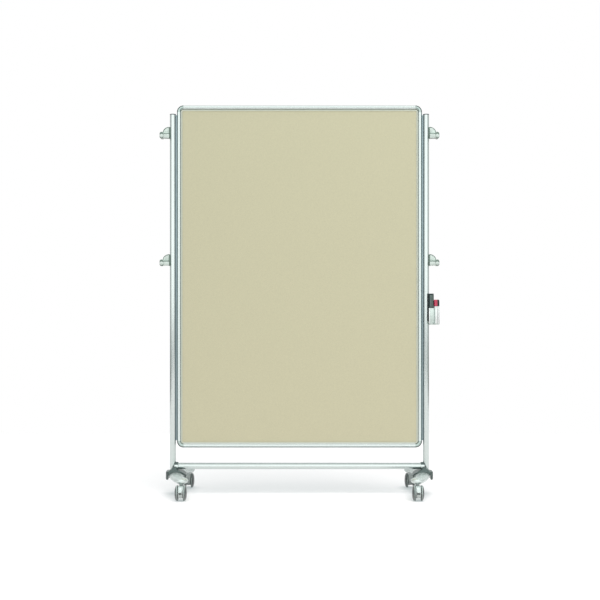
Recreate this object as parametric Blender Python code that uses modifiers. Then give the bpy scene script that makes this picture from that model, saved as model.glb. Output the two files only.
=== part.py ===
# Mobile pinboard on four twin-wheel castors, with side hooks and a marker caddy.
# Metres, +Z up. The origin is on the floor under the middle of the board. The pinboard faces -Y.
import math

import bmesh
import bpy
from mathutils import Euler, Matrix, Vector

# The framed board
BOARD_WIDTH = 1.219
BOARD_HEIGHT = 1.702
BOARD_BOTTOM = 0.232
CORNER_RADIUS = 0.032
FRAME_FACE = 0.0205
FRAME_LIP = 0.0275
LIP_LEVEL = 0.0092
CHANNEL_START = 0.018
CHANNEL_HALF = 0.0078
SIDE_FLAT_HALF = 0.006
HOLLOW_START = 0.0025
HOLLOW_END = 0.0155
HOLLOW_HALF = 0.0085
KEY_LENGTH = 0.026
GAP = 0.0003

# The tubes
UPRIGHT_X = 0.6305
UPRIGHT_RADIUS = 0.015
UPRIGHT_BOTTOM = 0.117
UPRIGHT_TOP = 1.890
TUBE_WALL = 0.002
RAIL_RADIUS = 0.016
RAIL_Z = 0.1394
RAIL_END = 0.612
TUBE_STEPS = 32

# The feet
LEG_OUTER_X = 0.612
LEG_Z = 0.0985
LEG_DROOP = 0.0055
LEG_HALF_HEIGHT = 0.0155
LEG_WAIST_HALF = 0.035
LEG_END_HALF = 0.034
LEG_STATIONS = 4
CASTOR_X = 0.571
CASTOR_Y = 0.1885
PAD_SEAT_Z = 0.0755
PAD_RADIUS = 0.015
STEM_SOCKET_TOP = 0.0985
BOLT_RADIUS = 0.004
BOLT_HEAD_RADIUS = 0.007
BOLT_HEAD_TOP = 0.0915
BOLT_HEAD_HEIGHT = 0.0045
BOLT_TOP = 0.135
PLUG_HEIGHT = 0.012
COLLAR_RADIUS = 0.020
COLLAR_INNER = 0.603
COLLAR_OUTER = 0.6215

# The castors
WHEEL_RADIUS = 0.0375
WHEEL_STEPS = 24
WHEEL_INNER = 0.0126
WHEEL_OUTER = 0.0295
CASTOR_TRAIL = 0.028
CASTOR_HALF = 0.012
CASTOR_TOP = 0.0685
NECK_RADIUS = 0.0088
NECK_TOP = 0.0743
STEM_RADIUS = 0.0055
AXLE_RADIUS = 0.004
BRAKE_PIVOT = (0.044, 0.062)
BRAKE_PIN_RADIUS = 0.0022
BRAKE_HALF = 0.0075

# The side hooks
HOOK_HEIGHTS = {"upper": 1.797, "lower": 1.163}
HOOK_REACH = 0.069
HOOK_LIP_RADIUS = 0.010
HOOK_LIP_TOP = 0.005
HOOK_LIP_BOTTOM = -0.0285
HOOK_DEPTH_HALF = 0.022
HOOK_PLATE = 0.0045
HOOK_SEAT = -0.0065
CLASP_REACH = 57
FIN_HALF = 0.0045

# The marker caddy
CADDY_TOP = 0.998
CADDY_BOTTOM = 0.861
CADDY_FACE = 0.6455
CLAMP_NEAR = 0.6395
CUP_TOP = 0.926
CUP_BOTTOM = 0.8435
CUP_HALF = 0.028
CUP_WALL = 0.0013
CUP_DEEP = 0.0232
ERASER_SIZE = (0.0192, 0.0504, 0.130)
MARKERS = {"red": (0.6768, -0.0142), "black": (0.6891, 0.0108)}
MARKER_RADIUS = 0.0085
MARKER_FOOT = 0.850

BOARD_MIDDLE = BOARD_BOTTOM + BOARD_HEIGHT / 2
QUARTER = math.pi / 2


def start_scene():
    """Empties the scene and makes the two collections."""
    for obj in list(bpy.data.objects):
        bpy.data.objects.remove(obj)
    made = []
    for name in ("mobile_pinboard", "cutters"):
        collection = bpy.data.collections.new(name)
        bpy.context.scene.collection.children.link(collection)
        made.append(collection)
    return made


PARTS, CUTTERS = start_scene()


def make_material(name, colour, roughness, metallic=0.0):
    material = bpy.data.materials.new(name)
    material.use_nodes = True
    shader = material.node_tree.nodes["Principled BSDF"]
    shader.inputs["Base Color"].default_value = (*colour, 1.0)
    shader.inputs["Roughness"].default_value = roughness
    shader.inputs["Metallic"].default_value = metallic
    return material


ANODISED = make_material("anodised_aluminium", (0.80, 0.84, 0.83), 0.28, 1.0)
CORNER_GREY = make_material("corner_grey", (0.36, 0.41, 0.40), 0.35, 0.6)
FABRIC = make_material("beige_fabric", (0.66, 0.63, 0.46), 0.95)
CORE_BOARD = make_material("core_board", (0.55, 0.46, 0.33), 0.9)
WHITE_STEEL = make_material("white_steel", (0.90, 0.91, 0.91), 0.12)
CAP_GREY = make_material("cap_grey", (0.55, 0.58, 0.58), 0.45)
HUB_GREY = make_material("hub_grey", (0.17, 0.21, 0.205), 0.42, 0.3)
LEG_SILVER = make_material("leg_silver", (0.62, 0.68, 0.67), 0.3, 0.7)
HOOK_GREY = make_material("hook_grey", (0.60, 0.67, 0.64), 0.4)
CASTOR_GREY = make_material("castor_grey", (0.52, 0.60, 0.58), 0.35)
TYRE_GREY = make_material("tyre_grey", (0.06, 0.08, 0.08), 0.55)
STEEL = make_material("steel", (0.60, 0.62, 0.63), 0.3, 1.0)
CADDY_GREY = make_material("caddy_grey", (0.06, 0.09, 0.09), 0.5)
CUP_WHITE = make_material("cup_white", (0.80, 0.86, 0.84), 0.25)
ERASER_GREY = make_material("eraser_grey", (0.12, 0.15, 0.145), 0.6)
FELT = make_material("felt", (0.08, 0.10, 0.10), 1.0)
MARKER_WHITE = make_material("marker_white", (0.90, 0.91, 0.90), 0.3)
CAP_COLOURS = {
    "red": make_material("cap_red", (0.55, 0.03, 0.09), 0.3),
    "black": make_material("cap_black", (0.01, 0.01, 0.01), 0.3),
}


def add_object(name, data, material=None, collection=None):
    obj = bpy.data.objects.new(name, data)
    (collection or PARTS).objects.link(obj)
    if material:
        data.materials.append(material)
    return obj


def finish_mesh(obj, angle=32):
    """Applies the object's modifiers, turns the faces outwards and shades them smooth."""
    graph = bpy.context.evaluated_depsgraph_get()
    graph.update()
    made = bpy.data.meshes.new_from_object(obj.evaluated_get(graph))
    shape = bmesh.new()
    shape.from_mesh(made)
    bmesh.ops.remove_doubles(shape, verts=shape.verts, dist=1e-6)
    bmesh.ops.recalc_face_normals(shape, faces=shape.faces)
    shape.to_mesh(made)
    shape.free()
    made.shade_smooth()
    made.set_sharp_from_angle(angle=math.radians(angle))
    obj.modifiers.clear()
    obj.data = made
    return obj


def curve_to_mesh(obj):
    """Swaps a curve object for a mesh object in the same place, with its caps welded."""
    graph = bpy.context.evaluated_depsgraph_get()
    graph.update()
    made = bpy.data.meshes.new_from_object(obj.evaluated_get(graph))
    shape = bmesh.new()
    shape.from_mesh(made)
    bmesh.ops.remove_doubles(shape, verts=shape.verts, dist=1e-6)
    bmesh.ops.recalc_face_normals(shape, faces=shape.faces)
    shape.to_mesh(made)
    shape.free()
    name, collection = obj.name, obj.users_collection[0]
    matrix, parent = obj.matrix_world.copy(), obj.parent
    bpy.data.objects.remove(obj)
    mesh_object = bpy.data.objects.new(name, made)
    collection.objects.link(mesh_object)
    mesh_object.parent = parent
    mesh_object.matrix_world = matrix
    return mesh_object


def as_cutter(obj):
    """Moves a helper to the cutters' collection, where it is never rendered."""
    for collection in list(obj.users_collection):
        collection.objects.unlink(obj)
    CUTTERS.objects.link(obj)
    obj.hide_render = True
    obj.display_type = "WIRE"
    return obj


def combine(obj, other, operation):
    modifier = obj.modifiers.new(operation.lower(), "BOOLEAN")
    modifier.operation = operation
    modifier.object = as_cutter(other)
    modifier.solver = "EXACT"


def flat_shape(name, loops, thickness, material=None, plane="XY"):
    """A flat outline, with holes if there are more loops, given its thickness about its plane."""
    curve = bpy.data.curves.new(name, "CURVE")
    curve.dimensions = "2D"
    curve.fill_mode = "BOTH"
    curve.extrude = thickness / 2
    for points in loops:
        spline = curve.splines.new("POLY")
        spline.points.add(len(points) - 1)
        for point, (across, up) in zip(spline.points, points):
            point.co = (across, up, 0, 1)
        spline.use_cyclic_u = True
    obj = add_object(name, curve, material)
    mesh_object = curve_to_mesh(obj)
    if plane != "XY":
        turn = (QUARTER, 0, 0) if plane == "XZ" else (QUARTER, 0, QUARTER)
        mesh_object.data.transform(Euler(turn).to_matrix().to_4x4())
    return mesh_object


def turned(name, profile, material=None, steps=TUBE_STEPS, axis="Z"):
    """A turned piece. The profile's (radius, height) points run down its outer side."""
    mesh = bpy.data.meshes.new(name)
    count = len(profile)
    edges = [(i, i + 1) for i in range(count - 1)]
    if profile[0][0] > 0:
        edges.append((count - 1, 0))
    mesh.from_pydata([(radius, 0, height) for radius, height in profile], edges, [])
    obj = add_object(name, mesh, material)
    screw = obj.modifiers.new("turn", "SCREW")
    screw.steps = screw.render_steps = steps
    screw.use_merge_vertices = True
    screw.merge_threshold = 1e-5
    finish_mesh(obj)
    if axis == "X":
        obj.rotation_euler = (0, QUARTER, 0)
    return obj


def cylinder(name, radius, low, high, steps=24, axis="Z"):
    return turned(name, [(0, high), (radius, high), (radius, low), (0, low)], None, steps, axis)


def block(name, low, high):
    """A box between two corners."""
    shape = bmesh.new()
    bmesh.ops.create_cube(shape, size=1)
    low, high = Vector(low), Vector(high)
    bmesh.ops.scale(shape, verts=shape.verts, vec=high - low)
    bmesh.ops.translate(shape, verts=shape.verts, vec=(low + high) / 2)
    mesh = bpy.data.meshes.new(name)
    shape.to_mesh(mesh)
    shape.free()
    return add_object(name, mesh)


def lofted(name, rings, material=None):
    """A closed skin over rings that each have the same number of points, with capped ends."""
    shape = bmesh.new()
    levels = [[shape.verts.new(point) for point in ring] for ring in rings]
    count = len(rings[0])
    for lower, upper in zip(levels, levels[1:]):
        for i in range(count):
            after = (i + 1) % count
            shape.faces.new((lower[i], lower[after], upper[after], upper[i]))
    shape.faces.new(levels[0])
    shape.faces.new(levels[-1])
    bmesh.ops.recalc_face_normals(shape, faces=shape.faces)
    mesh = bpy.data.meshes.new(name)
    shape.to_mesh(mesh)
    shape.free()
    return finish_mesh(add_object(name, mesh, material))


def bevel_edges(obj, width, segments=2, angle=40):
    bevel = obj.modifiers.new("rounded_edges", "BEVEL")
    bevel.width = width
    bevel.segments = segments
    bevel.limit_method = "ANGLE"
    bevel.angle_limit = math.radians(angle)


def arc(centre, radius, start, end, count):
    """Points on an arc, with its angles in degrees."""
    points = []
    for i in range(count + 1):
        angle = math.radians(start + (end - start) * i / count)
        points.append((centre[0] + radius * math.cos(angle), centre[1] + radius * math.sin(angle)))
    return points


def bezier(ends, steps):
    """Points on a cubic curve between the first and last of its four ends."""
    points = []
    for i in range(steps + 1):
        t = i / steps
        weights = ((1 - t) ** 3, 3 * t * (1 - t) ** 2, 3 * t * t * (1 - t), t ** 3)
        points.append(tuple(sum(w * end[k] for w, end in zip(weights, ends)) for k in (0, 1)))
    return points


def rounded_rectangle(half_width, half_height, radius, steps=4, centre=(0, 0)):
    points = []
    for quarter, (across, up) in enumerate(((1, 1), (-1, 1), (-1, -1), (1, -1))):
        middle = (
            centre[0] + across * (half_width - radius),
            centre[1] + up * (half_height - radius),
        )
        points += arc(middle, radius, quarter * 90, quarter * 90 + 90, steps)
    return points


def superellipse(half_width, half_height, power, count):
    """Points round an oval that is squarer than an ellipse when its power is over 2."""
    points = []
    for i in range(count):
        angle = 2 * math.pi * i / count
        across, up = math.cos(angle), math.sin(angle)
        points.append((
            half_width * math.copysign(abs(across) ** (2 / power), across),
            half_height * math.copysign(abs(up) ** (2 / power), up),
        ))
    return points


# The frame's extrusion
def frame_half_profile(steps=3):
    """The moulding's outline above its middle plane: inwards from the edge, and outwards in depth."""
    shoulder = ((0, SIDE_FLAT_HALF), (0, 0.0105), (0.0032, 0.0130), (0.0080, 0.0136))
    fall = ((0.0080, 0.0136), (0.0138, 0.0143), (0.0172, 0.0130), (FRAME_FACE - 0.0008, 0.0096))
    points = bezier(shoulder, steps)[:-1] + bezier(fall, steps)
    points += [(FRAME_FACE, LIP_LEVEL), (FRAME_LIP, LIP_LEVEL), (FRAME_LIP, CHANNEL_HALF)]
    points.append((CHANNEL_START, CHANNEL_HALF))
    return points


def frame_profile():
    half = frame_half_profile()
    return half + [(across, -depth) for across, depth in reversed(half)]


def hollow_profile(inset=0.0):
    low, high, half = HOLLOW_START + inset, HOLLOW_END - inset, HOLLOW_HALF - inset
    # The front and back corners are cut off to follow the rounded face.
    chamfer = 0.003
    return [
        (low, -half + chamfer), (low + chamfer, -half), (high, -half),
        (high, half), (low + chamfer, half), (low, half - chamfer),
    ]


def make_frame():
    """Four extruded rails and four corner pieces, each keyed into the two rails beside it."""
    half_width, half_height = BOARD_WIDTH / 2, BOARD_HEIGHT / 2
    names = ("left", "top", "right", "bottom")
    for turn, name in enumerate(names):
        across = half_width if turn % 2 == 0 else half_height
        along = half_height if turn % 2 == 0 else half_width
        length = 2 * (along - CORNER_RADIUS - GAP / 2)
        rail = flat_shape(f"frame_rail_{name}", [frame_profile(), hollow_profile()], length, ANODISED)
        rail.rotation_euler = (0, turn * QUARTER, 0)
        outward = Vector((-math.cos(turn * QUARTER), 0, math.sin(turn * QUARTER)))
        rail.location = Vector((0, 0, BOARD_MIDDLE)) + outward * across
        finish_mesh(rail)
    for turn, name in enumerate(("top_left", "top_right", "bottom_right", "bottom_left")):
        corner = corner_piece(f"frame_corner_{name}")
        corner.rotation_euler = (0, turn * QUARTER, 0)
        side = -1 if name.endswith("left") else 1
        level = 1 if name.startswith("top") else -1
        corner.location = (
            side * (half_width - CORNER_RADIUS), 0,
            BOARD_MIDDLE + level * (half_height - CORNER_RADIUS),
        )


def corner_piece(name):
    """A quarter turn of the frame's outline, with a key for each rail's hollow."""
    shape = bmesh.new()
    ring = [shape.verts.new((across - CORNER_RADIUS, depth, 0)) for across, depth in frame_profile()]
    face = shape.faces.new(ring)
    swept = [face, *face.edges, *face.verts]
    bmesh.ops.spin(shape, geom=swept, axis=(0, 1, 0), angle=QUARTER, steps=5, cent=(0, 0, 0))
    bmesh.ops.recalc_face_normals(shape, faces=shape.faces)
    mesh = bpy.data.meshes.new(name)
    shape.to_mesh(mesh)
    shape.free()
    corner = add_object(name, mesh, CORNER_GREY)
    root = 0.003
    for turn in (0, 1):
        key = flat_shape(f"{name}_key_{turn}", [hollow_profile(GAP)], KEY_LENGTH + root)
        middle = (root - KEY_LENGTH) / 2
        if turn == 0:
            key.location = (-CORNER_RADIUS, 0, middle)
        else:
            key.rotation_euler = (0, QUARTER, 0)
            key.location = (-middle, 0, CORNER_RADIUS)
        bpy.context.view_layer.update()
        combine(corner, key, "UNION")
    return finish_mesh(corner)


def make_panels():
    """The pinboard, the core and the steel writing sheet, held in the frame's channel."""
    margin = CHANNEL_START + GAP
    half_width, half_height = BOARD_WIDTH / 2 - margin, BOARD_HEIGHT / 2 - margin
    radius = CORNER_RADIUS - margin
    outline = rounded_rectangle(half_width, half_height, radius)
    layers = {
        "pinboard_panel": (-0.0075, -0.0030, FABRIC),
        "panel_core": (-0.0027, 0.0057, CORE_BOARD),
        "whiteboard_panel": (0.0060, 0.0075, WHITE_STEEL),
    }
    for name, (front, back, material) in layers.items():
        panel = flat_shape(name, [outline], back - front, material, "XZ")
        panel.location = (0, (front + back) / 2, BOARD_MIDDLE)
        if name == "pinboard_panel":
            inset = FRAME_LIP + 0.0005 - margin
            face = rounded_rectangle(half_width - inset, half_height - inset, radius - inset, 3)
            raised = flat_shape("raised_face", [face], 0.0028, None, "XZ")
            raised.location = (0, -0.0069, BOARD_MIDDLE)
            bpy.context.view_layer.update()
            combine(panel, raised, "UNION")
        finish_mesh(panel)


# The tubes, their caps and the strips beside the board
def tube_profile(radius, low, high):
    inner = radius - TUBE_WALL
    return [(radius, high), (radius, low), (inner, low), (inner, high)]


def make_tubes():
    plug_top = UPRIGHT_BOTTOM + PLUG_HEIGHT
    plug_hole = BOLT_RADIUS + GAP
    wall = tube_profile(UPRIGHT_RADIUS, UPRIGHT_BOTTOM, UPRIGHT_TOP)
    foot = [(plug_hole, UPRIGHT_BOTTOM), (plug_hole, plug_top), (wall[2][0], plug_top)]
    for side, name in ((-1, "left"), (1, "right")):
        upright = turned(f"upright_{name}", wall[:2] + foot + wall[3:], ANODISED)
        upright.location.x = side * UPRIGHT_X
        dome = [(0, 0.0032), (0.0100, 0.0028), (0.0140, 0.0018), (0.0150, 0.0003)]
        plug = [(0.0126, 0.0003), (0.0118, -0.018), (0, -0.018)]
        cap = turned(f"upright_cap_{name}", dome + plug, CAP_GREY, 20)
        cap.location = (side * UPRIGHT_X, 0, UPRIGHT_TOP)
        make_side_strip(side, name)
    rail = turned("bottom_rail", tube_profile(RAIL_RADIUS, -RAIL_END, RAIL_END), ANODISED, axis="X")
    rail.location.z = RAIL_Z


def make_side_strip(side, name):
    """The strip that joins the frame's flat side to the round upright."""
    strip_half = 0.0080
    near = BOARD_WIDTH / 2 + GAP - UPRIGHT_X
    saddle = UPRIGHT_RADIUS + GAP
    reach = math.degrees(math.asin(strip_half / saddle))
    outline = [(near, -strip_half + 0.002), (near, strip_half - 0.002)]
    outline += arc((0, 0), saddle, 180 - reach, 180 + reach, 8)
    if side < 0:
        outline = [(-across, up) for across, up in outline]
    low, high = BOARD_BOTTOM + 0.036, UPRIGHT_TOP - 0.004
    strip = flat_shape(f"side_strip_{name}", [outline], high - low, ANODISED)
    strip.location = (side * UPRIGHT_X, 0, (low + high) / 2)
    finish_mesh(strip)


# The feet
def leg_arc():
    """The radius and the centre's X of the arc that the curved leg follows in plan."""
    rise = LEG_OUTER_X - CASTOR_X
    radius = (CASTOR_Y ** 2 + rise ** 2) / (2 * rise)
    return radius, LEG_OUTER_X - radius


def leg_stations(reach_angle, end_angle):
    """The rings' angles on the arc, each with its share of the full width, closing in at both ends."""
    closing = [math.radians(a) for a in (28, 52, 72, 85)]
    beyond = [(reach_angle + (end_angle - reach_angle) * math.sin(a), math.cos(a)) for a in closing]
    between = [(reach_angle * i / LEG_STATIONS, 1.0) for i in range(-LEG_STATIONS, LEG_STATIONS + 1)]
    return [(-angle, share) for angle, share in reversed(beyond)] + between + beyond


def leg_rings(extra=0.0, around=12):
    """Oval sections of the leg from end to end: broadest under the hub, and drooping to the castors."""
    radius, centre_x = leg_arc()
    reach_angle = math.asin(CASTOR_Y / radius)
    end_angle = reach_angle + LEG_END_HALF / radius
    rings = []
    for angle, share in leg_stations(reach_angle, end_angle):
        swell = min(1.0, abs(angle) / reach_angle)
        blend = swell * swell * (3 - 2 * swell)
        half_width = (LEG_WAIST_HALF + (LEG_END_HALF - LEG_WAIST_HALF) * blend) * share + extra
        half_height = LEG_HALF_HEIGHT * share ** 0.6 + extra
        across = Vector((math.cos(angle), math.sin(angle), 0))
        middle = Vector((centre_x, 0, LEG_Z - LEG_DROOP * blend)) + across * radius
        section = superellipse(half_width, half_height, 2.3, around)
        rings.append([middle + across * out + Vector((0, 0, up)) for out, up in section])
    return rings


def mirrored(rings):
    return [[Vector((-point.x, point.y, point.z)) for point in ring] for ring in rings]


def make_leg(side, name):
    """The curved casting that carries a castor at each end."""
    rings = leg_rings() if side > 0 else mirrored(leg_rings())
    leg = lofted(f"foot_leg_{name}", rings, LEG_SILVER)
    for end in (-1, 1):
        tools = (
            ("pad", cylinder("pad", PAD_RADIUS, PAD_SEAT_Z, LEG_Z - LEG_DROOP, 20), "UNION"),
            ("socket", cylinder("socket", STEM_RADIUS + GAP, 0.070, STEM_SOCKET_TOP, 12), "DIFFERENCE"),
        )
        for label, tool, operation in tools:
            tool.name = f"{label}_{name}_{end}"
            tool.location = (side * CASTOR_X, end * CASTOR_Y, 0)
            bpy.context.view_layer.update()
            combine(leg, tool, operation)
    shank, head, step = BOLT_RADIUS + GAP, BOLT_HEAD_RADIUS + GAP, BOLT_HEAD_TOP + GAP
    hole = [(0, 0.125), (shank, 0.125), (shank, step), (head, step), (head, 0.060), (0, 0.060)]
    tool = turned(f"bolt_hole_{name}", hole, None, 12)
    tool.location.x = side * UPRIGHT_X
    bpy.context.view_layer.update()
    combine(leg, tool, "DIFFERENCE")
    finish_mesh(leg)


def make_hub(side, name):
    """The dark casting that joins upright, rail and leg. Its outer skirt is the bumper."""
    # Seen from the front, with the bumper on the outer side.
    front = [
        (-0.067, 0.0970), (-0.0645, 0.1035), (-0.050, 0.1130), (-0.029, 0.1215), (-0.0205, 0.1290),
        (-0.0165, 0.1370), (-0.0080, 0.1370), (0.0145, 0.1180), (0.0195, 0.1155), (0.0300, 0.1155),
        (0.0330, 0.1125), (0.0330, 0.0785), (0.0300, 0.0752), (0.0215, 0.0752),
        (0.0195, 0.0780), (0.0195, LEG_Z), (-0.0300, LEG_Z),
    ]
    # Seen from the side, as an arch over the leg.
    half_end = [
        (0.050, 0.070), (0.053, 0.085), (0.052, 0.100), (0.046, 0.114), (0.033, 0.134), (0.024, 0.145),
    ]
    end = half_end + [(-depth, up) for depth, up in reversed(half_end)]
    if side < 0:
        front = [(-across, up) for across, up in front]
    hub = flat_shape(f"foot_hub_{name}", [front], 0.130, HUB_GREY, "XZ")
    hub.location.x = side * UPRIGHT_X
    ends = flat_shape(f"hub_end_view_{name}", [end], 0.140, None, "YZ")
    ends.location.x = side * (UPRIGHT_X - 0.017)
    plan = flat_shape(f"hub_plan_{name}", [superellipse(0.0525, 0.054, 2.7, 24)], 0.120)
    plan.location = (side * (UPRIGHT_X - 0.0170), 0, 0.112)
    bpy.context.view_layer.update()
    combine(hub, ends, "INTERSECT")
    combine(hub, plan, "INTERSECT")
    bevel_edges(finish_mesh(hub), 0.0022, 1, 38)
    finish_mesh(hub)
    collar = cylinder(f"hub_collar_{name}", COLLAR_RADIUS, COLLAR_INNER, COLLAR_OUTER, 24, "X")
    collar.location.z = RAIL_Z
    if side < 0:
        collar.rotation_euler = (0, -QUARTER, 0)
    leg_space = lofted(
        f"leg_space_{name}",
        leg_rings(0.0004) if side > 0 else mirrored(leg_rings(0.0004)),
    )
    socket_radius, bolt_way = UPRIGHT_RADIUS + GAP, BOLT_RADIUS + GAP
    seat = UPRIGHT_BOTTOM - GAP
    upright_socket = turned(f"upright_socket_{name}", [
        (0, 0.170), (socket_radius, 0.170), (socket_radius, seat),
        (bolt_way, seat), (bolt_way, 0.060), (0, 0.060),
    ])
    upright_socket.location.x = side * UPRIGHT_X
    rail_low = RAIL_END - 0.020
    rail_socket = cylinder(
        f"rail_socket_{name}", RAIL_RADIUS + GAP, rail_low, RAIL_END + GAP, TUBE_STEPS, "X"
    )
    rail_socket.location.z = RAIL_Z
    if side < 0:
        rail_socket.rotation_euler = (0, -QUARTER, 0)
    bpy.context.view_layer.update()
    combine(hub, collar, "UNION")
    for tool in (leg_space, upright_socket, rail_socket):
        combine(hub, tool, "DIFFERENCE")
    finish_mesh(hub)
    head_low = BOLT_HEAD_TOP - BOLT_HEAD_HEIGHT
    bolt = [
        (0, BOLT_TOP), (BOLT_RADIUS, BOLT_TOP), (BOLT_RADIUS, BOLT_HEAD_TOP),
        (BOLT_HEAD_RADIUS, BOLT_HEAD_TOP), (BOLT_HEAD_RADIUS, head_low), (0, head_low),
    ]
    turned(f"foot_bolt_{name}", bolt, STEEL, 12).location.x = side * UPRIGHT_X


# The castors. In a castor's own frame the stem stands on the origin and the wheels trail towards +Y.
def castor_body():
    """The web between the wheels, with a neck round the stem and cheeks for the brake pedal."""
    axle = (CASTOR_TRAIL, WHEEL_RADIUS)
    outline = [(0.014, CASTOR_TOP + 0.0015), (-0.006, CASTOR_TOP), (-0.009, 0.064), (-0.006, 0.046)]
    outline += arc(axle, 0.0245, 195, 280, 3)
    outline += arc(axle, 0.0330, -35, 80, 7)
    body = flat_shape("castor_body", [outline], 2 * CASTOR_HALF, CASTOR_GREY, "YZ")
    neck = cylinder("castor_neck", NECK_RADIUS, 0.060, NECK_TOP, 18)
    bore = cylinder("castor_stem_bore", STEM_RADIUS + GAP, 0.0485, 0.080, 12)
    way = cylinder("castor_axle_bore", AXLE_RADIUS + GAP, -0.020, 0.020, 12, "X")
    way.location = (0, *axle)
    slot_half = BRAKE_HALF + 0.0005
    slot = block("castor_brake_slot", (-slot_half, 0.0365, 0.0335), (slot_half, 0.080, 0.080))
    pin = cylinder("castor_brake_pin", BRAKE_PIN_RADIUS, -0.0100, 0.0100, 10, "X")
    pin.location = (0, *BRAKE_PIVOT)
    bpy.context.view_layer.update()
    combine(body, neck, "UNION")
    for tool in (bore, way, slot):
        combine(body, tool, "DIFFERENCE")
    combine(body, pin, "UNION")
    return finish_mesh(body)


def brake_pedal():
    """A curved tongue that hangs on its pin between the cheeks, with a toe to tread on."""
    axle = (CASTOR_TRAIL, WHEEL_RADIUS)
    outer = arc(axle, 0.0355, 58, 12, 6)
    inner = arc(axle, 0.0315, 8, 42, 5)
    toe = [(0.0680, 0.0500), (0.0730, 0.0490), (0.0745, 0.0465), (0.0725, 0.0440), (0.0640, 0.0415)]
    boss = arc(BRAKE_PIVOT, 0.0048, 215, 95, 6)
    outline = outer[:-1] + toe + inner + boss
    pedal = flat_shape("brake_pedal", [outline], 2 * BRAKE_HALF, CASTOR_GREY, "YZ")
    hole = cylinder("brake_pin_hole", BRAKE_PIN_RADIUS + GAP, -0.020, 0.020, 10, "X")
    hole.location = (0, *BRAKE_PIVOT)
    bpy.context.view_layer.update()
    combine(pedal, hole, "DIFFERENCE")
    finish_mesh(pedal)
    pedal.data.transform(Matrix.Translation((0, -BRAKE_PIVOT[0], -BRAKE_PIVOT[1])))
    return pedal


def make_wheel():
    """A wheel turned about its axle, with a rounded tread, a domed outer cover and a blind bore."""
    # The flats between the tread's corners lie at the wheel's radius, and one of them faces the floor.
    half_step = math.pi / WHEEL_STEPS
    tread = WHEEL_RADIUS / math.cos(half_step)
    bore = AXLE_RADIUS + GAP
    wheel = turned("castor_wheel", [
        (0, WHEEL_OUTER), (0.0160, 0.0288), (0.0280, 0.0260), (0.0345, 0.0228), (tread, 0.0190),
        (tread, 0.0145), (0.0358, WHEEL_INNER), (bore, WHEEL_INNER), (bore, 0.0255), (0, 0.0255),
    ], TYRE_GREY, WHEEL_STEPS)
    wheel.data.transform(Matrix.Rotation(half_step, 4, "Z"))
    return wheel


def make_castors():
    body, pedal = castor_body(), brake_pedal()
    wheel = make_wheel()
    axle = turned("castor_axle", [
        (0, 0.025), (AXLE_RADIUS, 0.0245), (AXLE_RADIUS, -0.0245), (0, -0.025),
    ], STEEL, 12)
    flange_top, flange_low = PAD_SEAT_Z - GAP, NECK_TOP + GAP
    stem = turned("castor_stem", [
        (0, 0.0980), (STEM_RADIUS, 0.0970), (STEM_RADIUS, flange_top), (NECK_RADIUS, flange_top),
        (NECK_RADIUS, flange_low), (STEM_RADIUS, flange_low), (STEM_RADIUS, 0.0495), (0, 0.0495),
    ], STEEL, 12)
    patterns = [body, pedal, wheel, axle, stem]
    for along, depth in ((-1, "front"), (1, "back")):
        for side, name in ((-1, "left"), (1, "right")):
            swivel = bpy.data.objects.new(f"swivel_{depth}_{name}", None)
            PARTS.objects.link(swivel)
            swivel.location = (side * CASTOR_X, along * CASTOR_Y, 0)
            swivel.rotation_euler.z = 0 if along > 0 else math.pi
            prefix = f"castor_{depth}_{name}"
            axle_place = (0, CASTOR_TRAIL, WHEEL_RADIUS)
            pieces = (
                (f"{prefix}_body", body, (0, 0, 0), (0, 0, 0)),
                (f"{prefix}_brake_pedal", pedal, (0, *BRAKE_PIVOT), (0, 0, 0)),
                (f"{prefix}_axle", axle, axle_place, (0, QUARTER, 0)),
                (f"{prefix}_wheel_a", wheel, axle_place, (0, -QUARTER, 0)),
                (f"{prefix}_wheel_b", wheel, axle_place, (0, QUARTER, 0)),
                (f"{prefix}_stem", stem, (0, 0, 0), (0, 0, 0)),
            )
            for label, pattern, place, turn in pieces:
                piece = bpy.data.objects.new(label, pattern.data)
                PARTS.objects.link(piece)
                piece.parent = swivel
                piece.location = place
                piece.rotation_euler = turn
    for pattern in patterns:
        bpy.data.objects.remove(pattern)


# The hooks
def hook_fin():
    """The rounded fin that stands on the middle of the hook's seat, in a plane across the tube."""
    foot, reach, rise = 0.017, 0.033, 0.028
    outline = [(foot, HOOK_SEAT - 0.002), (0.0490, HOOK_SEAT - 0.002), (0.0490, 0.003)]
    for degrees in range(15, 91, 15):
        angle = math.radians(degrees)
        outline.append((foot + reach * math.cos(angle), 0.003 + rise * math.sin(angle)))
    return outline


def hook_cradle():
    """The seat with its thick upturned lip, in the same plane."""
    lip = HOOK_REACH - HOOK_LIP_RADIUS
    outline = [(0.017, HOOK_SEAT), (0.0480, HOOK_SEAT)]
    outline += arc((lip, HOOK_LIP_TOP - HOOK_LIP_RADIUS), HOOK_LIP_RADIUS, 165, 0, 8)
    outline += arc((lip, HOOK_LIP_BOTTOM + HOOK_LIP_RADIUS), HOOK_LIP_RADIUS, 0, -110, 5)
    return outline + [(0.0480, -0.0255), (0.017, -0.0262)]


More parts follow.
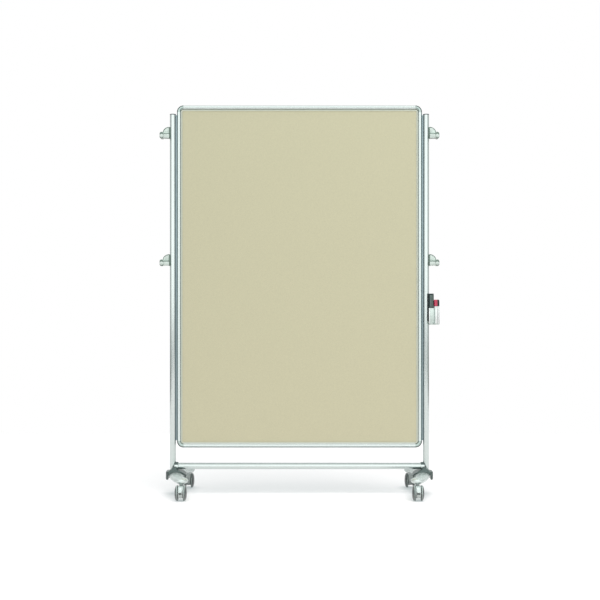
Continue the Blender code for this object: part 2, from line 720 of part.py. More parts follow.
def make_hook(side, side_name, level_name, height):
    """A double-sided hook that clasps the tube: a seat with a lip, and a fin that parts the seat."""
    saddle = UPRIGHT_RADIUS + GAP
    plate = saddle + HOOK_PLATE
    label = f"hook_{level_name}_{side_name}"

    def sided(points):
        return [(side * across, up) for across, up in points]

    clasp = arc((0, 0), saddle, -CLASP_REACH, CLASP_REACH, 7)
    clasp += arc((0, 0), plate, CLASP_REACH, -CLASP_REACH, 7)
    hook = flat_shape(label, [sided(clasp)], 0.056, HOOK_GREY)
    hook.location = (side * UPRIGHT_X, 0, height + 0.001)
    fin = flat_shape(f"{label}_fin", [sided(hook_fin())], 2 * FIN_HALF, None, "XZ")
    cradle = flat_shape(f"{label}_cradle", [sided(hook_cradle())], 2 * HOOK_DEPTH_HALF, None, "XZ")
    bevel_edges(cradle, 0.0015, 1, 60)
    finish_mesh(cradle)
    for tool in (fin, cradle):
        tool.location = (side * UPRIGHT_X, 0, height)
    bpy.context.view_layer.update()
    combine(hook, fin, "UNION")
    combine(hook, cradle, "UNION")
    finish_mesh(hook)


# The caddy on the right upright, with its eraser and markers
def cup_outline():
    """The cup in plan: a flat pocket for the eraser and a round lobe for each marker."""
    lobe = MARKER_RADIUS + 0.0019
    corner, inner = 0.004, CUP_HALF - 0.004
    left, right = CADDY_FACE + GAP + corner, CADDY_FACE + CUP_DEEP - corner
    outline = arc((left, -inner), corner, 180, 270, 3) + arc((right, -inner), corner, 270, 330, 2)
    outline += arc(MARKERS["red"], lobe, -105, 50, 7) + arc(MARKERS["black"], lobe, -90, 105, 7)
    return outline + arc((right, inner), corner, 30, 90, 2) + arc((left, inner), corner, 90, 180, 3)


def make_caddy():
    """A clamp on the tube, the cup that hangs from it, the eraser and the two markers."""
    saddle = UPRIGHT_RADIUS + GAP
    near, far, half = CLAMP_NEAR - UPRIGHT_X, CADDY_FACE - UPRIGHT_X, 0.027
    reach = math.degrees(math.acos(near / saddle))
    outline = arc((0, 0), saddle, -reach, reach, 8)
    outline += [(near, half - 0.001), (near + 0.001, half), (far, half)]
    outline += [(far, -half), (near + 0.001, -half), (near, -half + 0.001)]
    clamp = flat_shape("caddy_clamp", [outline], CADDY_TOP - CADDY_BOTTOM, CADDY_GREY)
    clamp.location = (UPRIGHT_X, 0, (CADDY_TOP + CADDY_BOTTOM) / 2)
    finish_mesh(clamp)

    plan = cup_outline()
    centre = Vector((sum(p[0] for p in plan) / len(plan), 0, 0))
    rings = []
    for level, share in ((CUP_BOTTOM, 0.90), (CUP_BOTTOM + 0.0045, 0.985), (CUP_TOP, 1)):
        ring = [centre + (Vector((across, depth, 0)) - centre) * share for across, depth in plan]
        rings.append([Vector((max(p.x, CADDY_FACE + GAP), p.y, level)) for p in ring])
    cup = lofted("caddy_cup", rings, CUP_WHITE)
    thickness, width, height = ERASER_SIZE
    left, foot = CADDY_FACE + GAP + CUP_WALL, CADDY_TOP - height
    play = 0.0004
    bay_low = (left, -width / 2 - play, foot - 0.002)
    bay_high = (left + thickness + 2 * play, width / 2 + play, CUP_TOP + 0.01)
    tools = [block("eraser_bay", bay_low, bay_high)]
    for name, (across, depth) in MARKERS.items():
        socket = cylinder(
            f"marker_socket_{name}", MARKER_RADIUS + 0.0005, MARKER_FOOT - 0.0015, CUP_TOP + 0.01, 20
        )
        socket.location = (across, depth, 0)
        tools.append(socket)
    bpy.context.view_layer.update()
    for tool in tools:
        combine(cup, tool, "DIFFERENCE")
    finish_mesh(cup)

    felt_left = left + play + 0.0085
    for name, low, high, material in (
        ("eraser_back", left + play, felt_left - GAP, ERASER_GREY),
        ("eraser_felt", felt_left, left + play + thickness, FELT),
    ):
        piece = block(name, (low, -width / 2, foot), (high, width / 2, CADDY_TOP))
        piece.data.materials.append(material)
        bevel_edges(piece, 0.0016, 1, 40)
        finish_mesh(piece)
    for name, (across, depth) in MARKERS.items():
        make_marker(name, across, depth)


def make_marker(name, across, depth):
    """A marker standing on its end, with its cap over the neck and nib."""
    barrel = [
        (0, 0.1085), (0.0026, 0.1030), (0.0030, 0.0985), (0.0062, 0.0980), (0.0066, 0.0855),
        (MARKER_RADIUS, 0.0850), (MARKER_RADIUS, 0.0030), (0.0070, 0), (0, 0),
    ]
    cap = [
        (0, 0.1180), (0.0078, 0.1172), (0.0093, 0.1130), (0.0096, 0.0858),
        (0.0070, 0.0858), (0.0070, 0.0986), (0.0036, 0.0990), (0.0036, 0.1060), (0, 0.1120),
    ]
    body = turned(f"marker_{name}_barrel", barrel, MARKER_WHITE, 14)
    body.location = (across, depth, MARKER_FOOT)
    top = turned(f"marker_{name}_cap", cap, CAP_COLOURS[name], 14)
    top.location = (across, depth, MARKER_FOOT)


def main():
    make_frame()
    make_panels()
    make_tubes()
    for side, name in ((-1, "left"), (1, "right")):
        make_leg(side, name)
        make_hub(side, name)
        for level_name, height in HOOK_HEIGHTS.items():
            make_hook(side, name, level_name, height)
    make_castors()
    make_caddy()


main()
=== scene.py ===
# Looks of the mobile pinboard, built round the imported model. Metres, +Z up, the pinboard faces -Y.
import math

import bmesh
import bpy
from mathutils import Matrix, Vector


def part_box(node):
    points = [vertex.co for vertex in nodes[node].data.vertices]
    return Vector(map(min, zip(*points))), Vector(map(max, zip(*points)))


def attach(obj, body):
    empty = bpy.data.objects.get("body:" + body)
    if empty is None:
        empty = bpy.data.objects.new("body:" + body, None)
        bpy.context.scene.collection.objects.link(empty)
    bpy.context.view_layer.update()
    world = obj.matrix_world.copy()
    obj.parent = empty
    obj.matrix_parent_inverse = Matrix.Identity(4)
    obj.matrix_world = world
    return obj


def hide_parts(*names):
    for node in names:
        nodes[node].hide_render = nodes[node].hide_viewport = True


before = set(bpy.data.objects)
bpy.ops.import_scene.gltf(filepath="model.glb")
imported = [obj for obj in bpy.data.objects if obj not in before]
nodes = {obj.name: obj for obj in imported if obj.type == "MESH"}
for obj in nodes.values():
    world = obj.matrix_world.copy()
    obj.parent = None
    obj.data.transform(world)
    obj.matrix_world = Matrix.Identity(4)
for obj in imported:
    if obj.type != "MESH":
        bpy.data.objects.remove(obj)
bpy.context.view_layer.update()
quarterTurn = math.pi / 2
sides = (("left", -1), ("right", 1))
clearance = 0.0003  # round anything that turns, slides or clips on
print("frame loaded:", len(nodes), "nodes")


# Camera, light and stage
cameraView = {
    "place": (0.0027, -6.27, 0.966),
    "lens": 75.5,
    "sensor": 36.0,
}
studioLight = {
    "worldStrength": 0.275,  # of the studio's walls, as a source of light
    "tint": (0.97, 1.0, 0.99),
    "sideGrey": 0.54,  # the brightness of the walls to the left and right
    "walls": {  # for each other wall, the directions where it starts and is full, and its brightness
        "front": ("Y", (-0.25, -0.8), 1.62),
        "back": ("Y", (0.0, 0.55), 0.74),
        "top": ("Z", (0.25, 0.85), 0.88),
    },
    "below": (-0.02, -0.2),  # the directions where the dark room under the horizon starts and is full
    "belowGrey": 0.35,
    "lamps": {  # each lamp's place, its width across and its power
        "front": ((1.76, -7.06, 2.76), 6.6, 54.0),
        "near": ((0.4, -6.4, 2.75), 0.9, 32.0),  # a small one over the camera
        "side": ((1.7, -3.1, 5.4), 4.0, 118.0),
        "back": ((1.2, 6.8, 3.0), 5.0, 110.0),
    },
    "aim": (0, 0, 0.95),
    "overhead": 3.2,
    "overheadSpread": 60,  # degrees
    "overheadTilt": (10, 2),  # degrees, from above the front
}
floorLook = {
    "half": 2.6,
    "front": 2.4,  # how far the pale floor runs in front of the board
    "below": 0.0005,  # the wheels
    "albedo": (0.49, 0.45, 0.45),
    "glow": (0.369, 0.424, 0.426),
}


def newObject(name, data):
    made = bpy.data.objects.new(name, data)
    bpy.context.scene.collection.objects.link(made)
    return made


def toObject(name, shape):
    mesh = bpy.data.meshes.new(name)
    shape.to_mesh(mesh)
    shape.free()
    return newObject(name, mesh)


def addCamera():
    data = bpy.data.cameras.new("photoCamera")
    data.lens = cameraView["lens"]
    data.sensor_width = cameraView["sensor"]
    data.clip_end = 100
    camera = newObject("photoCamera", data)
    camera.location = cameraView["place"]
    camera.rotation_euler = (quarterTurn, 0, 0)
    bpy.context.scene.camera = camera


def newLamp(name, kind, power):
    lamp = newObject(name, bpy.data.lights.new(name, kind))
    lamp.data.energy = power
    lamp.visible_glossy = False  # metal mirrors the studio's walls instead
    return lamp


def addLamp(name, place, size, power):
    lamp = newLamp(name + "Lamp", "AREA", power)
    lamp.data.shape = "DISK"
    lamp.data.size = size
    lamp.location = place
    aim = Vector(studioLight["aim"]) - Vector(place)
    lamp.rotation_euler = aim.to_track_quat("-Z", "Y").to_euler()


def addOverhead():
    # Soft light from the whole ceiling. It draws the shadow under the board.
    lamp = newLamp("overhead", "SUN", studioLight["overhead"])
    lamp.data.angle = math.radians(studioLight["overheadSpread"])
    lean, roll = studioLight["overheadTilt"]
    lamp.rotation_euler = (math.radians(lean), math.radians(roll), 0)


def mathNode(tree, operation, *sources):
    # Each source is another node's output or a number.
    node = tree.nodes.new("ShaderNodeMath")
    node.operation = operation
    for socket, source in zip(node.inputs, sources):
        if isinstance(source, (int, float)):
            socket.default_value = source
        else:
            tree.links.new(source, socket)
    return node.outputs[0]


def rangeNode(tree, source, fromRange, toRange, curve="LINEAR"):
    node = tree.nodes.new("ShaderNodeMapRange")
    node.interpolation_type = curve
    for socket, value in zip(("From Min", "From Max", "To Min", "To Max"), (*fromRange, *toRange)):
        node.inputs[socket].default_value = value
    tree.links.new(source, node.inputs["Value"])
    return node.outputs[0]


def seenBy(tree, *kinds):
    # One for rays of any of those kinds, and nought for the others.
    rays = tree.nodes.new("ShaderNodeLightPath")
    seen = rays.outputs[kinds[0]]
    for kind in kinds[1:]:
        seen = mathNode(tree, "MAXIMUM", seen, rays.outputs[kind])
    return seen


def joinShaders(tree, kind, *sources):
    joined = tree.nodes.new("ShaderNode" + kind)
    for socket, source in zip(joined.inputs, sources):
        tree.links.new(source, socket)
    return joined.outputs[0] if joined.outputs else None


def colourNode(tree, kind, colour):
    shader = tree.nodes.new("ShaderNode" + kind)
    shader.inputs["Color"].default_value = (*colour, 1)
    return shader


def lightWorld():
    world = bpy.data.worlds.new("studio")
    bpy.context.scene.world = world
    world.use_nodes = True
    tree = world.node_tree
    tree.nodes.clear()
    direction = tree.nodes.new("ShaderNodeTexCoord")
    split = tree.nodes.new("ShaderNodeSeparateXYZ")
    tree.links.new(direction.outputs["Generated"], split.inputs[0])
    walls = []
    for axis, fade, grey in studioLight["walls"].values():
        grounds = studioLight["sideGrey"] if axis == "Y" else 0.0
        walls.append(rangeNode(tree, split.outputs[axis], fade, (grounds, grey), "SMOOTHSTEP"))
    level = mathNode(tree, "MAXIMUM", mathNode(tree, "MAXIMUM", walls[0], walls[1]), walls[2])
    # Only metal sees the dark room below, and it mirrors the whole studio at full strength.
    mirrored, depth = seenBy(tree, "Is Glossy Ray"), (0.0, 1.0 - studioLight["belowGrey"])
    dark = rangeNode(tree, split.outputs["Z"], studioLight["below"], depth, "SMOOTHSTEP")
    dark = mathNode(tree, "MULTIPLY", dark, mirrored)
    level = mathNode(tree, "MULTIPLY", level, mathNode(tree, "SUBTRACT", 1, dark))
    strength = rangeNode(tree, mirrored, (0, 1), (studioLight["worldStrength"], 1))
    lit = colourNode(tree, "Background", studioLight["tint"])
    tree.links.new(mathNode(tree, "MULTIPLY", level, strength), lit.inputs["Strength"])
    white = colourNode(tree, "Background", (1, 1, 1))
    seen = seenBy(tree, "Is Camera Ray", "Is Transmission Ray")
    both = joinShaders(tree, "MixShader", seen, lit.outputs[0], white.outputs[0])
    joinShaders(tree, "OutputWorld", both)


def layFloor():
    shape = bmesh.new()
    bmesh.ops.create_grid(shape, x_segments=1, y_segments=1, size=floorLook["half"])
    bmesh.ops.translate(shape, verts=shape.verts, vec=(0, floorLook["half"] - floorLook["front"], 0))
    floor = toObject("floor", shape)
    floor.location.z = -floorLook["below"]
    material = bpy.data.materials.new("paleFloor")
    material.use_nodes = True
    tree = material.node_tree
    tree.nodes.clear()
    diffuse = colourNode(tree, "BsdfDiffuse", floorLook["albedo"])
    glow = colourNode(tree, "Emission", floorLook["glow"])
    none = colourNode(tree, "Emission", (0, 0, 0))
    seen = seenBy(tree, "Is Camera Ray", "Is Glossy Ray", "Is Transmission Ray")
    shown = joinShaders(tree, "MixShader", seen, none.outputs[0], glow.outputs[0])
    both = joinShaders(tree, "AddShader", diffuse.outputs[0], shown)
    joinShaders(tree, "OutputMaterial", both)
    floor.data.materials.append(material)


bpy.context.scene.view_settings.view_transform = "Standard"
addCamera()
lightWorld()
addOverhead()
for lampName, (place, size, power) in studioLight["lamps"].items():
    addLamp(lampName, place, size, power)
layFloor()
print("camera, lamps and floor placed")


# Finishes. Each is a node material on Object coordinates, with its slot in the record.
noiseRange = (0.3, 0.7)  # the middle of a noise's values, spread over the whole change


def newFinish(name, slotName, colour, roughness, metallic=0.0, coat=0.0, sheen=0.0):
    material = bpy.data.materials.new(name)
    material.use_nodes = True
    shader = material.node_tree.nodes["Principled BSDF"]
    shader.inputs["Base Color"].default_value = (*colour, 1)
    shader.inputs["Roughness"].default_value = roughness
    shader.inputs["Metallic"].default_value = metallic
    shader.inputs["Coat Weight"].default_value = coat
    shader.inputs["Coat Roughness"].default_value = 0.12
    shader.inputs["Sheen Weight"].default_value = sheen
    return {"material": material, "slot": slotName, "colour": colour}


def objectNoise(tree, scale, detail=2.0, stretch=(1, 1, 1)):
    coordinates = tree.nodes.new("ShaderNodeTexCoord")
    mapping = tree.nodes.new("ShaderNodeMapping")
    mapping.inputs["Scale"].default_value = stretch
    noise = tree.nodes.new("ShaderNodeTexNoise")
    noise.inputs["Scale"].default_value = scale
    noise.inputs["Detail"].default_value = detail
    tree.links.new(coordinates.outputs["Object"], mapping.inputs["Vector"])
    tree.links.new(mapping.outputs[0], noise.inputs["Vector"])
    return noise.outputs["Fac"]


def varyColour(finish, scale, darker, lighter, detail=2.0, stretch=(1, 1, 1)):
    # The colour runs between two shades of itself over the noise.
    tree = finish["material"].node_tree
    ramp = tree.nodes.new("ShaderNodeValToRGB")
    for element, share, at in zip(ramp.color_ramp.elements, (darker, lighter), noiseRange):
        element.position = at
        element.color = (*[min(1.0, channel * share) for channel in finish["colour"]], 1)
    tree.links.new(objectNoise(tree, scale, detail, stretch), ramp.inputs["Fac"])
    tree.links.new(ramp.outputs["Color"], tree.nodes["Principled BSDF"].inputs["Base Color"])
    return ramp


def varyRoughness(finish, scale, low, high, stretch=(1, 1, 1)):
    tree = finish["material"].node_tree
    spread = rangeNode(tree, objectNoise(tree, scale, 3.0, stretch), noiseRange, (low, high))
    tree.links.new(spread, tree.nodes["Principled BSDF"].inputs["Roughness"])


def addGrain(finish, scale, depth, strength=0.5, detail=2.0, stretch=(1, 1, 1)):
    # Fine relief of that real depth.
    tree = finish["material"].node_tree
    bump = tree.nodes.new("ShaderNodeBump")
    bump.inputs["Strength"].default_value = strength
    bump.inputs["Distance"].default_value = depth
    tree.links.new(objectNoise(tree, scale, detail, stretch), bump.inputs["Height"])
    tree.links.new(bump.outputs["Normal"], tree.nodes["Principled BSDF"].inputs["Normal"])


def worked(base, shade, grain, rough=None):
    # A finish with its mottling, its relief and its uneven gloss, each as its function asks.
    finish = newFinish(*base)
    varyColour(finish, *shade)
    if rough:
        varyRoughness(finish, *rough)
    addGrain(finish, *grain)
    return finish


def drawnMetal(name, colour, along, roughness=0.26, metallic=0.9):
    # An extrusion's faint lines run along its length.
    stretch = [380, 380, 380]
    stretch["XYZ".index(along)] = 0.8
    return worked(
        (name, "anodised", colour, roughness, metallic), (1.0, 0.985, 1.01, 2.0, stretch),
        (1.0, 0.000003, 0.2, 2.0, stretch), (1.0, roughness - 0.015, roughness + 0.02, stretch),
    )


def mouldedPlastic(name, slotName, colour, roughness, coat=0.0):
    return worked(
        (name, slotName, colour, roughness, 0, coat), (45, 0.94, 1.05, 3.0),
        (900, 0.00006, 0.35), (120, roughness - 0.05, roughness + 0.08),
    )


def pinFabric():
    # Short felted fibres: fine mottling over faint broad shading, with a soft nap.
    finish = newFinish("beigeFelt", "pin_fabric", (0.588, 0.57, 0.395), 0.95, 0, 0, 0.12)
    tree = finish["material"].node_tree
    shader = tree.nodes["Principled BSDF"]
    shader.inputs["Sheen Roughness"].default_value = 0.6
    ramp = varyColour(finish, 620, 0.9, 1.09, 3.0)
    tint = tree.nodes.new("ShaderNodeVectorMath")
    tint.operation = "SCALE"
    shade = rangeNode(tree, objectNoise(tree, 150, 3.0), noiseRange, (0.975, 1.025))
    tree.links.new(ramp.outputs["Color"], tint.inputs[0])
    tree.links.new(shade, tint.inputs["Scale"])
    tree.links.new(tint.outputs[0], shader.inputs["Base Color"])
    addGrain(finish, 1400, 0.00025, 0.6, 3.0)
    return finish


aluminium = (0.61, 0.665, 0.65)
extrusions = {  # each one's material name, colour, direction, roughness and share of metal
    "railUpright": ("anodisedUprightRail", aluminium, "Z"),
    "railLevel": ("anodisedLevelRail", aluminium, "X"),
    "tubeUpright": ("anodisedUprightTube", aluminium, "Z", 0.22),
    "tubeLevel": ("anodisedLevelTube", aluminium, "X", 0.22),
    "strip": ("anodisedStrip", (0.3, 0.375, 0.4), "Z", 0.34),
    # a dark strip over the moulding's outer edge, painted shade
    "bead": ("anodisedBead", (0.135, 0.2, 0.2), "Z", 0.42, 0.5),
}
plastics = {  # each one's material name, slot, colour, roughness and coat
    # a dark strip on the groove's floor, painted shade
    "gasket": ("gasketRubber", "anodised", (0.075, 0.1, 0.092), 0.6),
    # the dark strip over each corner's outer edge, painted shade
    "edging": ("cornerEdging", "corner", (0.034, 0.056, 0.05), 0.3, 0.1),
    "cap": ("capPlastic", "cap", (0.07, 0.078, 0.088), 0.36, 0.1),
    # the hook's light shell, whose discs on the lip's ends are painted highlights, and its dark frame,
    # painted shade
    "hook": ("hookPlastic", "hook", (0.6, 0.69, 0.64), 0.26, 0.3),
    "hookFrame": ("hookFramePlastic", "hook", (0.135, 0.19, 0.16), 0.34, 0.1),
    "castorBody": ("castorPlastic", "castor_body", (0.56, 0.64, 0.62), 0.22, 0.4),
    # a light grey band round each tyre's crown, a painted highlight
    "tread": ("treadRubber", "wheel", (0.3, 0.37, 0.35), 0.28, 0.5),
    "wheelCover": ("coverPlastic", "wheel", (0.06, 0.082, 0.08), 0.24, 0.2),
    "clamp": ("clampPlastic", "caddy", (0.011, 0.026, 0.026), 0.34, 0.05),
    "cup": ("cupPlastic", "cup", (0.6, 0.71, 0.665), 0.18, 0.4),
    "sleeve": ("sleevePlastic", "cup", (0.84, 0.88, 0.87), 0.16, 0.5),
    "boss": ("bossPlastic", "cup", (0.27, 0.33, 0.31), 0.3, 0.3),
    "eraser": ("eraserPlastic", "eraser", (0.105, 0.142, 0.132), 0.45),
    "foam": ("eraserFoam", "felt", (0.09, 0.125, 0.112), 0.7),
    "barrel": ("markerPlastic", "marker_barrel", (0.88, 0.9, 0.89), 0.22, 0.4),
    "capRed": ("crimsonPlastic", "cap_red", (0.48, 0.02, 0.072), 0.22, 0.4),
    "capBlack": ("blackPlastic", "cap_black", (0.003, 0.004, 0.004), 0.3, 0.05),
}
otherFinishes = {  # newFinish's values, and then those of varyColour, addGrain and varyRoughness
    "lip": (  # etched, so that it spreads the light that the moulding's crown mirrors
        ("satinLip", "anodised", (0.58, 0.61, 0.51), 0.5, 0.35),
        (200, 0.97, 1.03, 3.0), (1200, 0.00003, 0.3), (150, 0.46, 0.56),
    ),
    "corner": (
        ("polishedCorner", "corner", (0.4, 0.475, 0.45), 0.12, 0.95),
        (60, 0.93, 1.05, 3.0), (500, 0.00005, 0.3), (200, 0.11, 0.18),
    ),
    "core": (
        ("fibreCore", "core", (0.52, 0.42, 0.29), 0.9),
        (300, 0.8, 1.15, 5.0), (600, 0.0002, 0.5),
    ),
    "enamel": (
        ("whiteEnamel", "writing_steel", (0.88, 0.9, 0.9), 0.12, 0, 0.6),
        (6, 0.985, 1.01), (14, 0.0002, 0.12), (30, 0.08, 0.18),
    ),
    "hub": (  # a satin dark casting with a speckle of lighter metal
        ("darkCasting", "hub", (0.074, 0.104, 0.098), 0.34, 0.35),
        (260, 0.84, 1.16, 4.0), (420, 0.00006, 0.5, 4.0), (180, 0.22, 0.36),
    ),
    "leg": (
        ("powderSilver", "leg", (0.62, 0.69, 0.67), 0.24, 0.66, 0.4),
        (700, 0.96, 1.04, 3.0), (900, 0.00004, 0.3, 3.0), (300, 0.21, 0.32),
    ),
    "tyre": (
        ("tyreRubber", "wheel", (0.014, 0.02, 0.02), 0.24, 0, 0.6),
        (160, 0.85, 1.2, 4.0), (700, 0.00004, 0.3, 3.0), (240, 0.2, 0.32),
    ),
    "steel": (
        ("zincSteel", "steel", (0.58, 0.6, 0.61), 0.3, 1.0),
        (90, 0.9, 1.06, 3.0), (500, 0.00004, 0.4), (150, 0.22, 0.4),
    ),
    "felt": (
        ("darkFelt", "felt", (0.02, 0.032, 0.03), 0.98, 0, 0, 0.2),
        (700, 0.6, 1.5, 4.0), (1600, 0.0005, 0.9, 4.0),
    ),
}
finishes = {"fabric": pinFabric()}
finishes.update((name, drawnMetal(*values)) for name, values in extrusions.items())
finishes.update((name, mouldedPlastic(*values)) for name, values in plastics.items())
finishes.update((name, worked(*values)) for name, values in otherFinishes.items())
print("finishes made:", len(finishes))


# Shape helpers
def arcPoints(centre, radius, start, end, steps):
    angles = [math.radians(start + (end - start) * i / steps) for i in range(steps + 1)]
    return [(centre[0] + radius * math.cos(a), centre[1] + radius * math.sin(a)) for a in angles]


def curvePoints(ends, steps):
    # A cubic curve through its first and last points, drawn towards the two between.
    points = []
    for i in range(steps + 1):
        t = i / steps
        weights = ((1 - t) ** 3, 3 * t * (1 - t) ** 2, 3 * t * t * (1 - t), t ** 3)
        points.append(tuple(sum(w * end[k] for w, end in zip(weights, ends)) for k in (0, 1)))
    return points


def moved(shape, place):
    bmesh.ops.translate(shape, verts=shape.verts, vec=place)
    return shape


def cleaned(shape):
    bmesh.ops.remove_doubles(shape, verts=shape.verts, dist=0.000002)
    bmesh.ops.dissolve_degenerate(shape, edges=shape.edges, dist=0.000001)
    bmesh.ops.recalc_face_normals(shape, faces=shape.faces)
    return shape


def extruded(outline, low, high, plane="XY"):
    # The outline's two numbers lie in the named plane, and it is pushed out along the third axis.
    shape = bmesh.new()
    face = shape.faces.new([shape.verts.new((u, v, low)) for u, v in outline])
    made = bmesh.ops.extrude_face_region(shape, geom=[face])
    raised = [part for part in made["geom"] if isinstance(part, bmesh.types.BMVert)]
    bmesh.ops.translate(shape, verts=raised, vec=(0, 0, high - low))
    if plane == "XZ":
        shape.transform(Matrix(((1, 0, 0), (0, 0, 1), (0, 1, 0))).to_4x4())
    elif plane == "YZ":
        shape.transform(Matrix(((0, 0, 1), (1, 0, 0), (0, 1, 0))).to_4x4())
    bmesh.ops.recalc_face_normals(shape, faces=shape.faces)
    return shape


def turned(points, steps=48, axis="Z"):
    # A profile of (radius, height) points, spun about its axis.
    shape = bmesh.new()
    line = [shape.verts.new((radius, 0, height)) for radius, height in points]
    edges = [shape.edges.new(pair) for pair in zip(line, line[1:])]
    if points[0][0] > 0:
        edges.append(shape.edges.new((line[-1], line[0])))
    bmesh.ops.spin(
        shape, geom=line + edges, cent=(0, 0, 0), axis=(0, 0, 1),
        angle=math.tau, steps=steps, use_merge=True,
    )
    cleaned(shape)
    if axis == "X":
        shape.transform(Matrix.Rotation(quarterTurn, 4, "Y"))
    return shape


def rod(radius, low, high, steps=32, axis="Z"):
    return turned([(0, high), (radius, high), (radius, low), (0, low)], steps, axis)


def roundEdges(shape, width, segments=3, angle=30):
    sharp = [
        edge for edge in shape.edges
        if len(edge.link_faces) == 2 and edge.calc_face_angle(0) > math.radians(angle)
    ]
    bmesh.ops.bevel(
        shape, geom=sharp, offset=width, offset_type="OFFSET", affect="EDGES",
        segments=segments, profile=0.5, material=-1, clamp_overlap=True,
    )
    return shape


def slab(outline, low, high, plane, width, segments=2, angle=50):
    return roundEdges(extruded(outline, low, high, plane), width, segments, angle)


def boxShape(low, high, width=0.0, segments=3):
    shape = bmesh.new()
    bmesh.ops.create_cube(shape, size=1)
    low, high = Vector(low), Vector(high)
    bmesh.ops.scale(shape, verts=shape.verts, vec=high - low)
    moved(shape, (low + high) / 2)
    return roundEdges(shape, width, segments) if width else shape


def evaluatedShape(piece):
    # The object's mesh with its modifiers applied. The object itself is removed.
    bpy.context.view_layer.update()
    graph = bpy.context.evaluated_depsgraph_get()
    mesh = bpy.data.meshes.new_from_object(piece.evaluated_get(graph))
    shape = bmesh.new()
    shape.from_mesh(mesh)
    bpy.data.objects.remove(piece)
    bpy.data.meshes.remove(mesh)
    return shape


def combined(first, others, operation="UNION"):
    base = toObject("base", first)
    tools = [toObject("tool", other) for other in others]
    for tool in tools:
        modifier = base.modifiers.new(operation, "BOOLEAN")
        modifier.operation = operation
        modifier.object = tool
        modifier.solver = "EXACT"
    shape = evaluatedShape(base)
    for tool in tools:
        bpy.data.objects.remove(tool)
    return shape


def gathered(first, others):
    # Separate solids kept as one piece.
    for other in others:
        mesh = bpy.data.meshes.new("part")
        other.to_mesh(mesh)
        first.from_mesh(mesh)
        bpy.data.meshes.remove(mesh)
    return first


def finishPiece(name, shape, finish, replaced=(), smooth=38, body="stand"):
    piece = toObject(name, cleaned(shape))
    piece.data.shade_smooth()
    piece.data.set_sharp_from_angle(angle=math.radians(smooth))
    for face in piece.data.polygons:
        face.use_smooth = face.area < 0.02  # a board's broad face stays flat up to its rounded edges
    piece.data.materials.append(finishes[finish]["material"])
    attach(piece, body)
    if replaced:
        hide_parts(*replaced)


# The frame: extruded mouldings with a rounded face, a shadow groove and a flat lip
mouldingLook = {
    "face": 0.0187,
    "faceStep": 0.0007,  # between the fall's end and the groove
    "lip": 0.0275,
    "lipLevel": 0.0092,
    "channelStart": 0.018,
    "channelHalf": 0.0078,
    "shoulder": ((0, 0.006), (0, 0.0105), (0.0032, 0.013), (0.008, 0.0136)),
    "fall": ((0.008, 0.0136), (0.0125, 0.0141), (0.0155, 0.013), (0.0179, 0.0096)),
    "grooveWidth": 0.002,
    "grooveDepth": 0.0011,
    # the dark strip on the groove's floor, painted shade:
    "gasket": 0.0006,
    "gasketUnder": 0.0005,  # its reach under the face
    "curveSteps": 12,
    "cornerRadius": 0.032,
    "cornerSteps": 20,
    "joint": 0.0004,
    "trimRound": 0.0003,
    "sillProud": 0.0004,
    "sillRound": 0.0002,
    # the dark strip over the outer edge, painted shade:
    "beadReach": 0.0048,
    "beadProud": (0.0002, 0.0004),  # across and away from the board's middle plane
    "beadSunk": 0.0006,
    "beadSteps": 24,
}


def mouldingProfile():
    # Across runs inwards from the frame's outer edge, and depth away from its middle plane.
    look = mouldingLook
    low, inner = look["lipLevel"] - look["grooveDepth"], look["face"] + look["grooveWidth"]
    half = curvePoints(look["shoulder"], look["curveSteps"])[:-1]
    half += curvePoints(look["fall"], look["curveSteps"])
    half += [(look["face"] - look["faceStep"], low), (inner, low), (inner, look["channelHalf"])]
    half += [(look["channelStart"], look["channelHalf"])]
    return half + [(across, -depth) for across, depth in reversed(half)]


def paintedShadeOutlines():
    # A dark strip over the moulding's outer edge, one on each face: painted shade where that edge turns
    # away from the light.
    look = mouldingLook
    (over, out), sunk = look["beadProud"], look["beadSunk"]
    edge = [at for at in curvePoints(look["shoulder"], look["beadSteps"]) if at[0] < look["beadReach"]]
    outline = [(max(across - over, 0), depth + out) for across, depth in edge]
    outline += [(across + sunk, depth - sunk) for across, depth in reversed(edge)]
    return [outline, [(across, -depth) for across, depth in reversed(outline)]]


def trimShape(halfWidth, halfHeight, near, far, low, top):
    # A thin strip on each face of the board, swept round the four sides and the four corners.
    look, soft = mouldingLook, mouldingLook["trimRound"]
    radius, steps = look["cornerRadius"], look["cornerSteps"]
    section = [(near, low), (near, top - soft), (near + soft, top)]
    section += [(far - soft, top), (far, top - soft), (far, low)]
    shape = bmesh.new()
    for face in (-1, 1):
        loops = []
        for turn, (side, level) in enumerate(((-1, 1), (1, 1), (1, -1), (-1, -1))):
            centre = Vector((side * (halfWidth - radius), 0, level * (halfHeight - radius)))
            for step in range(steps + 1):
                angle = math.pi - (turn + step / steps) * quarterTurn
                out = Vector((math.cos(angle), 0, math.sin(angle)))
                loop = []
                for across, depth in section:
                    place = centre + out * (radius - across) + Vector((0, face * depth, 0))
                    loop.append(shape.verts.new(place))
                loops.append([shape.edges.new(pair) for pair in zip(loop, loop[1:] + loop[:1])])
        for first, second in zip(loops, loops[1:] + loops[:1]):
            bmesh.ops.bridge_loops(shape, edges=first + second)
    return shape


def quarterShape(outlines):
    # Outlines of the moulding's section, swept through a corner's quarter turn.
    radius = mouldingLook["cornerRadius"]
    shape = bmesh.new()
    for outline in outlines:
        face = shape.faces.new([shape.verts.new((across - radius, depth, 0)) for across, depth in outline])
        bmesh.ops.spin(
            shape, geom=[face, *face.edges, *face.verts], cent=(0, 0, 0), axis=(0, 1, 0),
            angle=quarterTurn, steps=mouldingLook["cornerSteps"],
        )
    return shape


